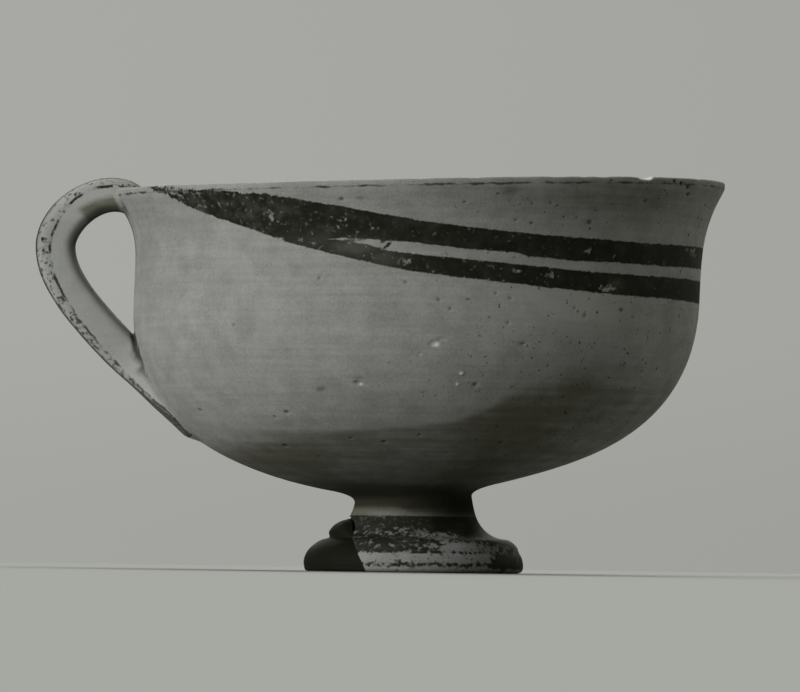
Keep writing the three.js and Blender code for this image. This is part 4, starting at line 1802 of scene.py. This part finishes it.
    @staticmethod
    def painted_light(
        turn: np.ndarray,
        high: np.ndarray,
        reach: np.ndarray,
        outside: np.ndarray,
        on_strap: np.ndarray,
    ) -> np.ndarray:
        """How much painted light makes the clay paler, from 0 to 1, on the handle and a broad patch.

        Args:
            turn: the points' angles from the handle, in degrees.
            high: their heights.
            reach: how far they lie from the axis; not used.
            outside: whether they lie on the outside.
            on_strap: how far each is part of the handle, from 0 to 1.

        Returns:
            One number per point.
        """
        # Painted light on a broad patch of the bowl, and more on the handle.
        patch = 0.55 * bump_at(turn - 124, high - 65, 16, 9)
        return lerp(patch * outside, 0.6, on_strap)

    def spots(self, places: np.ndarray) -> tuple[np.ndarray, np.ndarray]:
        """Returns how much of a dark pit, and of fresh clay, each place shows."""
        pit, fresh = np.zeros(len(places)), np.zeros(len(places))
        for mark, centre in self.mark_places:
            hill = self.hill(mark, centre, places)
            if mark.kind is Blemish.PIT:
                pit = np.maximum(pit, smoothstep(hill, 0.12, 0.5))
            else:
                fresh = np.maximum(fresh, smoothstep(hill, 0.2, 0.5))
        gap = (places - self.chip_centre()) / self.chip_stretch
        return pit, np.maximum(fresh, 0.9 * (np.linalg.norm(gap, axis=1) < self.chip_radius * 1.08))


def guide_line(
    name: str, points: np.ndarray, marks: dict[str, np.ndarray], facing: np.ndarray
) -> bpy.types.Object:
    """A line of points for a Geometry Nodes tree to follow.

    Args:
        name: the helper's name.
        points: its points, in order.
        marks: a number per point, by attribute name.
        facing: the outward direction at each point.

    Returns:
        A new helper object.
    """
    edges = [(i, i + 1) for i in range(len(points) - 1)]
    mesh = mesh_of(name, points, [], edges)
    for title, values in marks.items():
        set_marks(mesh, title, values)
    layer = mesh.attributes.new("facing", "FLOAT_VECTOR", "POINT")
    layer.data.foreach_set("vector", facing.astype(np.float32).ravel())
    return placed(name, mesh)


def turned_mesh(
    profile: np.ndarray,
    give: np.ndarray,
    ridges: np.ndarray,
    columns: int,
    ridge: float = 0.0,
    pitch: float = 3.0,
    uneven: float = 0.0,
    size: float = 30.0,
    seed: float = 0.0,
) -> bpy.types.Mesh:
    """A solid of revolution about the Z axis.

    Args:
        profile: rows of radius and height, from axis to axis.
        give: how much of the unevenness each row takes.
        ridges: how strong the throwing ridges are at each row.
        columns: how many steps go round.
        ridge: the ridges' height, in mm.
        pitch: how far apart they are, in mm.
        uneven: how deep the slow unevenness is, in mm.
        size: how broad it is, in mm.
        seed: a fixed number for both.

    Returns:
        A closed mesh.
    """
    ahead = tangents(profile + np.arange(len(profile))[:, None] * TINY)
    facing = np.stack([ahead[:, 1], np.zeros(len(profile)), -ahead[:, 0]], axis=1)
    points = np.stack([profile[:, 0], np.zeros(len(profile)), profile[:, 1]], axis=1)
    marks = {"give": give, "ridges": ridges, "reach": lengths_along(profile)}
    guide = guide_line("profile", points, marks, facing)
    sizes = {
        "Columns": columns,
        "Rows": len(profile),
        "Ridge Height": ridge,
        "Ridge Pitch": pitch,
        "Unevenness": uneven,
        "Unevenness Size": size,
        "Seed": seed,
    }
    mesh = grown_from(guide, turning_tree(), sizes)
    dropped(guide)
    return mesh


def finish_mesh(mesh: bpy.types.Mesh, material: bpy.types.Material) -> None:
    """Brings a mesh from millimetres to metres, shades it and gives it its finish."""
    mesh.transform(Matrix.Scale(MM, 4))
    mesh.materials.clear()
    mesh.materials.append(material)
    mesh.shade_smooth()
    mesh.set_sharp_from_angle(angle=CREASE_ANGLE)
    mesh.update()


@dataclass
class ModelledFill:
    """Two rounded rolls of dark filler, one on the other, in place of the lost clay."""

    form: CupForm
    broken: BreakForm
    fold_inset: float = 6.3
    top_reach: float = 14.6
    fold_depth: float = 0.5
    blend: float = 2.2
    fold_width: float = 0.7
    lower_pulls: tuple[tuple[float, float], ...] = ((0.6, 0.3), (0.2, 1.7))
    upper_pulls: tuple[tuple[float, float], ...] = ((0.1, 2.2), (4.4, 0.5))
    inner_radius: float = 7.0
    columns: int = 260

    def made(self) -> bpy.types.Object:
        """Returns the finished fill."""
        form = self.form
        edge, fold, top = form.foot_radius, form.foot_radius - self.fold_inset, self.broken.height
        h = form.foot_edge_height
        (low_out, low_up), (high_out, high_down) = self.lower_pulls
        pulls = [(edge + low_out, low_up), (edge + high_out, h - high_down)]
        lower = bezier([(edge - form.foot_edge_round, 0), *pulls, (fold, h)], 44)
        (low_in, low_up), (high_out, high_down) = self.upper_pulls
        pulls = [(fold - low_in, h + low_up), (self.top_reach + high_out, top - high_down)]
        upper = bezier([(fold, h), *pulls, (self.top_reach, top)], 28)
        base = np.stack([np.linspace(0, edge - form.foot_edge_round, 10), np.zeros(10)], axis=1)
        profile = np.concatenate(
            [base[:-1], lower[:-1], upper, [(self.inner_radius, top), (0.0, top)]]
        )
        gap = np.hypot(profile[:, 0] - fold, profile[:, 1] - h)
        profile[:, 0] -= self.fold_depth * np.exp(-((gap / self.fold_width) ** 2))
        give = smoothstep(profile[:, 0], 8, 12) * smoothstep(profile[:, 1], 0, 1.2)
        mesh = turned_mesh(
            profile, give, give, self.columns, ridge=0.12, pitch=2.0, uneven=0.9, size=9.0, seed=8.0
        )
        self.smooth_to_break(mesh)
        body = placed("modelled_fill", mesh)
        shaped(body, Cut.KEEP, placed("beyond_break", self.broken.slab(self.broken.gap)))
        finish_mesh(body.data, DarkFill().made())
        return body

    def smooth_to_break(self, mesh: bpy.types.Mesh) -> None:
        """Draws the fill in beside the break, so that it lies flush with the clay there."""
        places = places_in(mesh)
        reach = np.maximum(np.hypot(places[:, 0], places[:, 1]), TINY)
        away = -places[:, 0] - self.broken.face_at(places[:, 1], places[:, 2])
        clay = np.interp(places[:, 2], self.form.outer_heights, self.form.outer_radii)
        flush = (1 - smoothstep(away, 0.5, self.blend)) * smoothstep(places[:, 2], 0.2, 1.5)
        places[:, :2] *= (lerp(reach, np.minimum(reach, clay), flush) / reach)[:, None]
        set_places(mesh, places)


@dataclass(frozen=True)
class Lamp:
    """A broad soft light from far off.

    Its place is given by how far round to the left of the camera it stands and how high, and its
    spread by how wide it looks from the cup, all in degrees.
    """

    name: str
    from_left: float
    height: float
    spread: float
    strength: float
    colour: tuple[float, float, float]


@dataclass
class Studio:
    """The plain floor, the pale surround, the light and the camera."""

    distance: float = 2.4
    eye_height: float = 0.005
    aim: tuple[float, float] = (-0.00375, 0.0554)
    frame_width: float = 0.196
    roll: float = math.radians(0.84)
    sensor: float = 36.0
    reach: float = 9.0
    back_edge: float = 0.62
    nearest: float = 0.1
    farthest: float = 40.0
    room_tone: tuple[float, ...] = (1.0, 1.0, 0.85, 1)
    room_light: float = 0.006
    lamps: tuple[Lamp, ...] = (
        Lamp("key", 54, 13, 40, 1.32, (1.0, 1.0, 1.0)),
        Lamp("behind", 180, 40, 55, 1.15, (1.0, 1.0, 0.93)),
        Lamp("above", -60, 72, 55, 0.26, (1.0, 1.0, 0.85)),
        Lamp("rim", -120, 30, 50, 0.18, (1.0, 1.0, 0.85)),
    )

    def made(self) -> None:
        """Builds the whole studio."""
        scene = bpy.context.scene
        scene.view_settings.view_transform = "Standard"
        scene.view_settings.look = "None"
        self.floor()
        self.surround()
        self.light()
        self.camera()

    def floor(self) -> None:
        """Lays the floor, which ends a little way behind the cup."""
        side, back = self.reach, self.back_edge
        corners = [(-side, -side, 0.0), (side, -side, 0.0), (side, back, 0.0), (-side, back, 0.0)]
        mesh = mesh_of("floor", np.array(corners), [(0, 1, 2, 3)])
        mesh.materials.append(PalePaper().made())
        placed("floor", mesh)

    def surround(self) -> None:
        """Puts a pale dome round everything, which is seen but lights nothing, and glows with
        painted shade.
        """
        shape = bmesh.new()
        bmesh.ops.create_uvsphere(shape, u_segments=64, v_segments=32, radius=self.reach)
        bmesh.ops.reverse_faces(shape, faces=shape.faces)
        mesh = bpy.data.meshes.new("surround")
        shape.to_mesh(mesh)
        shape.free()
        mesh.materials.append(PaleSurround().made())
        dome = placed("surround", mesh)
        dome.visible_diffuse = dome.visible_glossy = dome.visible_shadow = False

    def light(self) -> None:
        """Lights the cup softly from low on the left and behind, and weakly from elsewhere."""
        for lamp in self.lamps:
            data = bpy.data.lights.new(lamp.name, "SUN")
            data.energy = lamp.strength * math.pi
            data.angle = math.radians(lamp.spread)
            data.color = lamp.colour
            made = bpy.data.objects.new(lamp.name, data)
            bpy.context.scene.collection.objects.link(made)
            turn, height = math.radians(lamp.from_left), math.radians(lamp.height)
            flat = math.cos(height)
            toward = Vector((-math.sin(turn) * flat, -math.cos(turn) * flat, math.sin(height)))
            made.rotation_euler = toward.to_track_quat("Z", "Y").to_euler()
            made.location = toward * 2
        world = bpy.data.worlds.new("dim_room")
        bpy.context.scene.world = world
        world.use_nodes = True
        background = world.node_tree.nodes["Background"]
        background.inputs["Color"].default_value = self.room_tone
        background.inputs["Strength"].default_value = self.room_light

    def camera(self) -> None:
        """Stands the camera where the picture was taken from."""
        data = bpy.data.cameras.new("camera")
        data.sensor_width = self.sensor
        data.lens = self.sensor * self.distance / self.frame_width
        data.clip_start, data.clip_end = self.nearest, self.farthest
        eye = bpy.data.objects.new("camera", data)
        bpy.context.scene.collection.objects.link(eye)
        eye.location = (self.aim[0], -self.distance, self.eye_height)
        ahead = Vector((self.aim[0], 0, self.aim[1])) - eye.location
        turned = ahead.to_track_quat("-Z", "Y").to_matrix() @ Matrix.Rotation(self.roll, 3, "Z")
        eye.rotation_euler = turned.to_euler()
        bpy.context.scene.camera = eye


def report(piece: bpy.types.Object, body: str, node: str) -> None:
    """Ties a piece to its body, hides the node that it replaces, and logs it."""
    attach(piece, body)
    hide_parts(node)
    triangles = sum(len(p.vertices) - 2 for p in piece.data.polygons)
    log.info("%s: %d triangles, rides on %s, replaces %s", piece.name, triangles, body, node)


def main() -> None:
    """Builds the cup, its fill and the studio."""
    logging.basicConfig(level=logging.INFO, format="%(name)s: %(message)s")
    form, broken = CupForm(), BreakForm()
    Studio().made()
    report(PaintedCup(form, HandleForm(form), broken).made(), "root", "cup")
    report(ModelledFill(form, broken).made(), "root", "foot_repair")


if __name__ == "__main__":
    main()
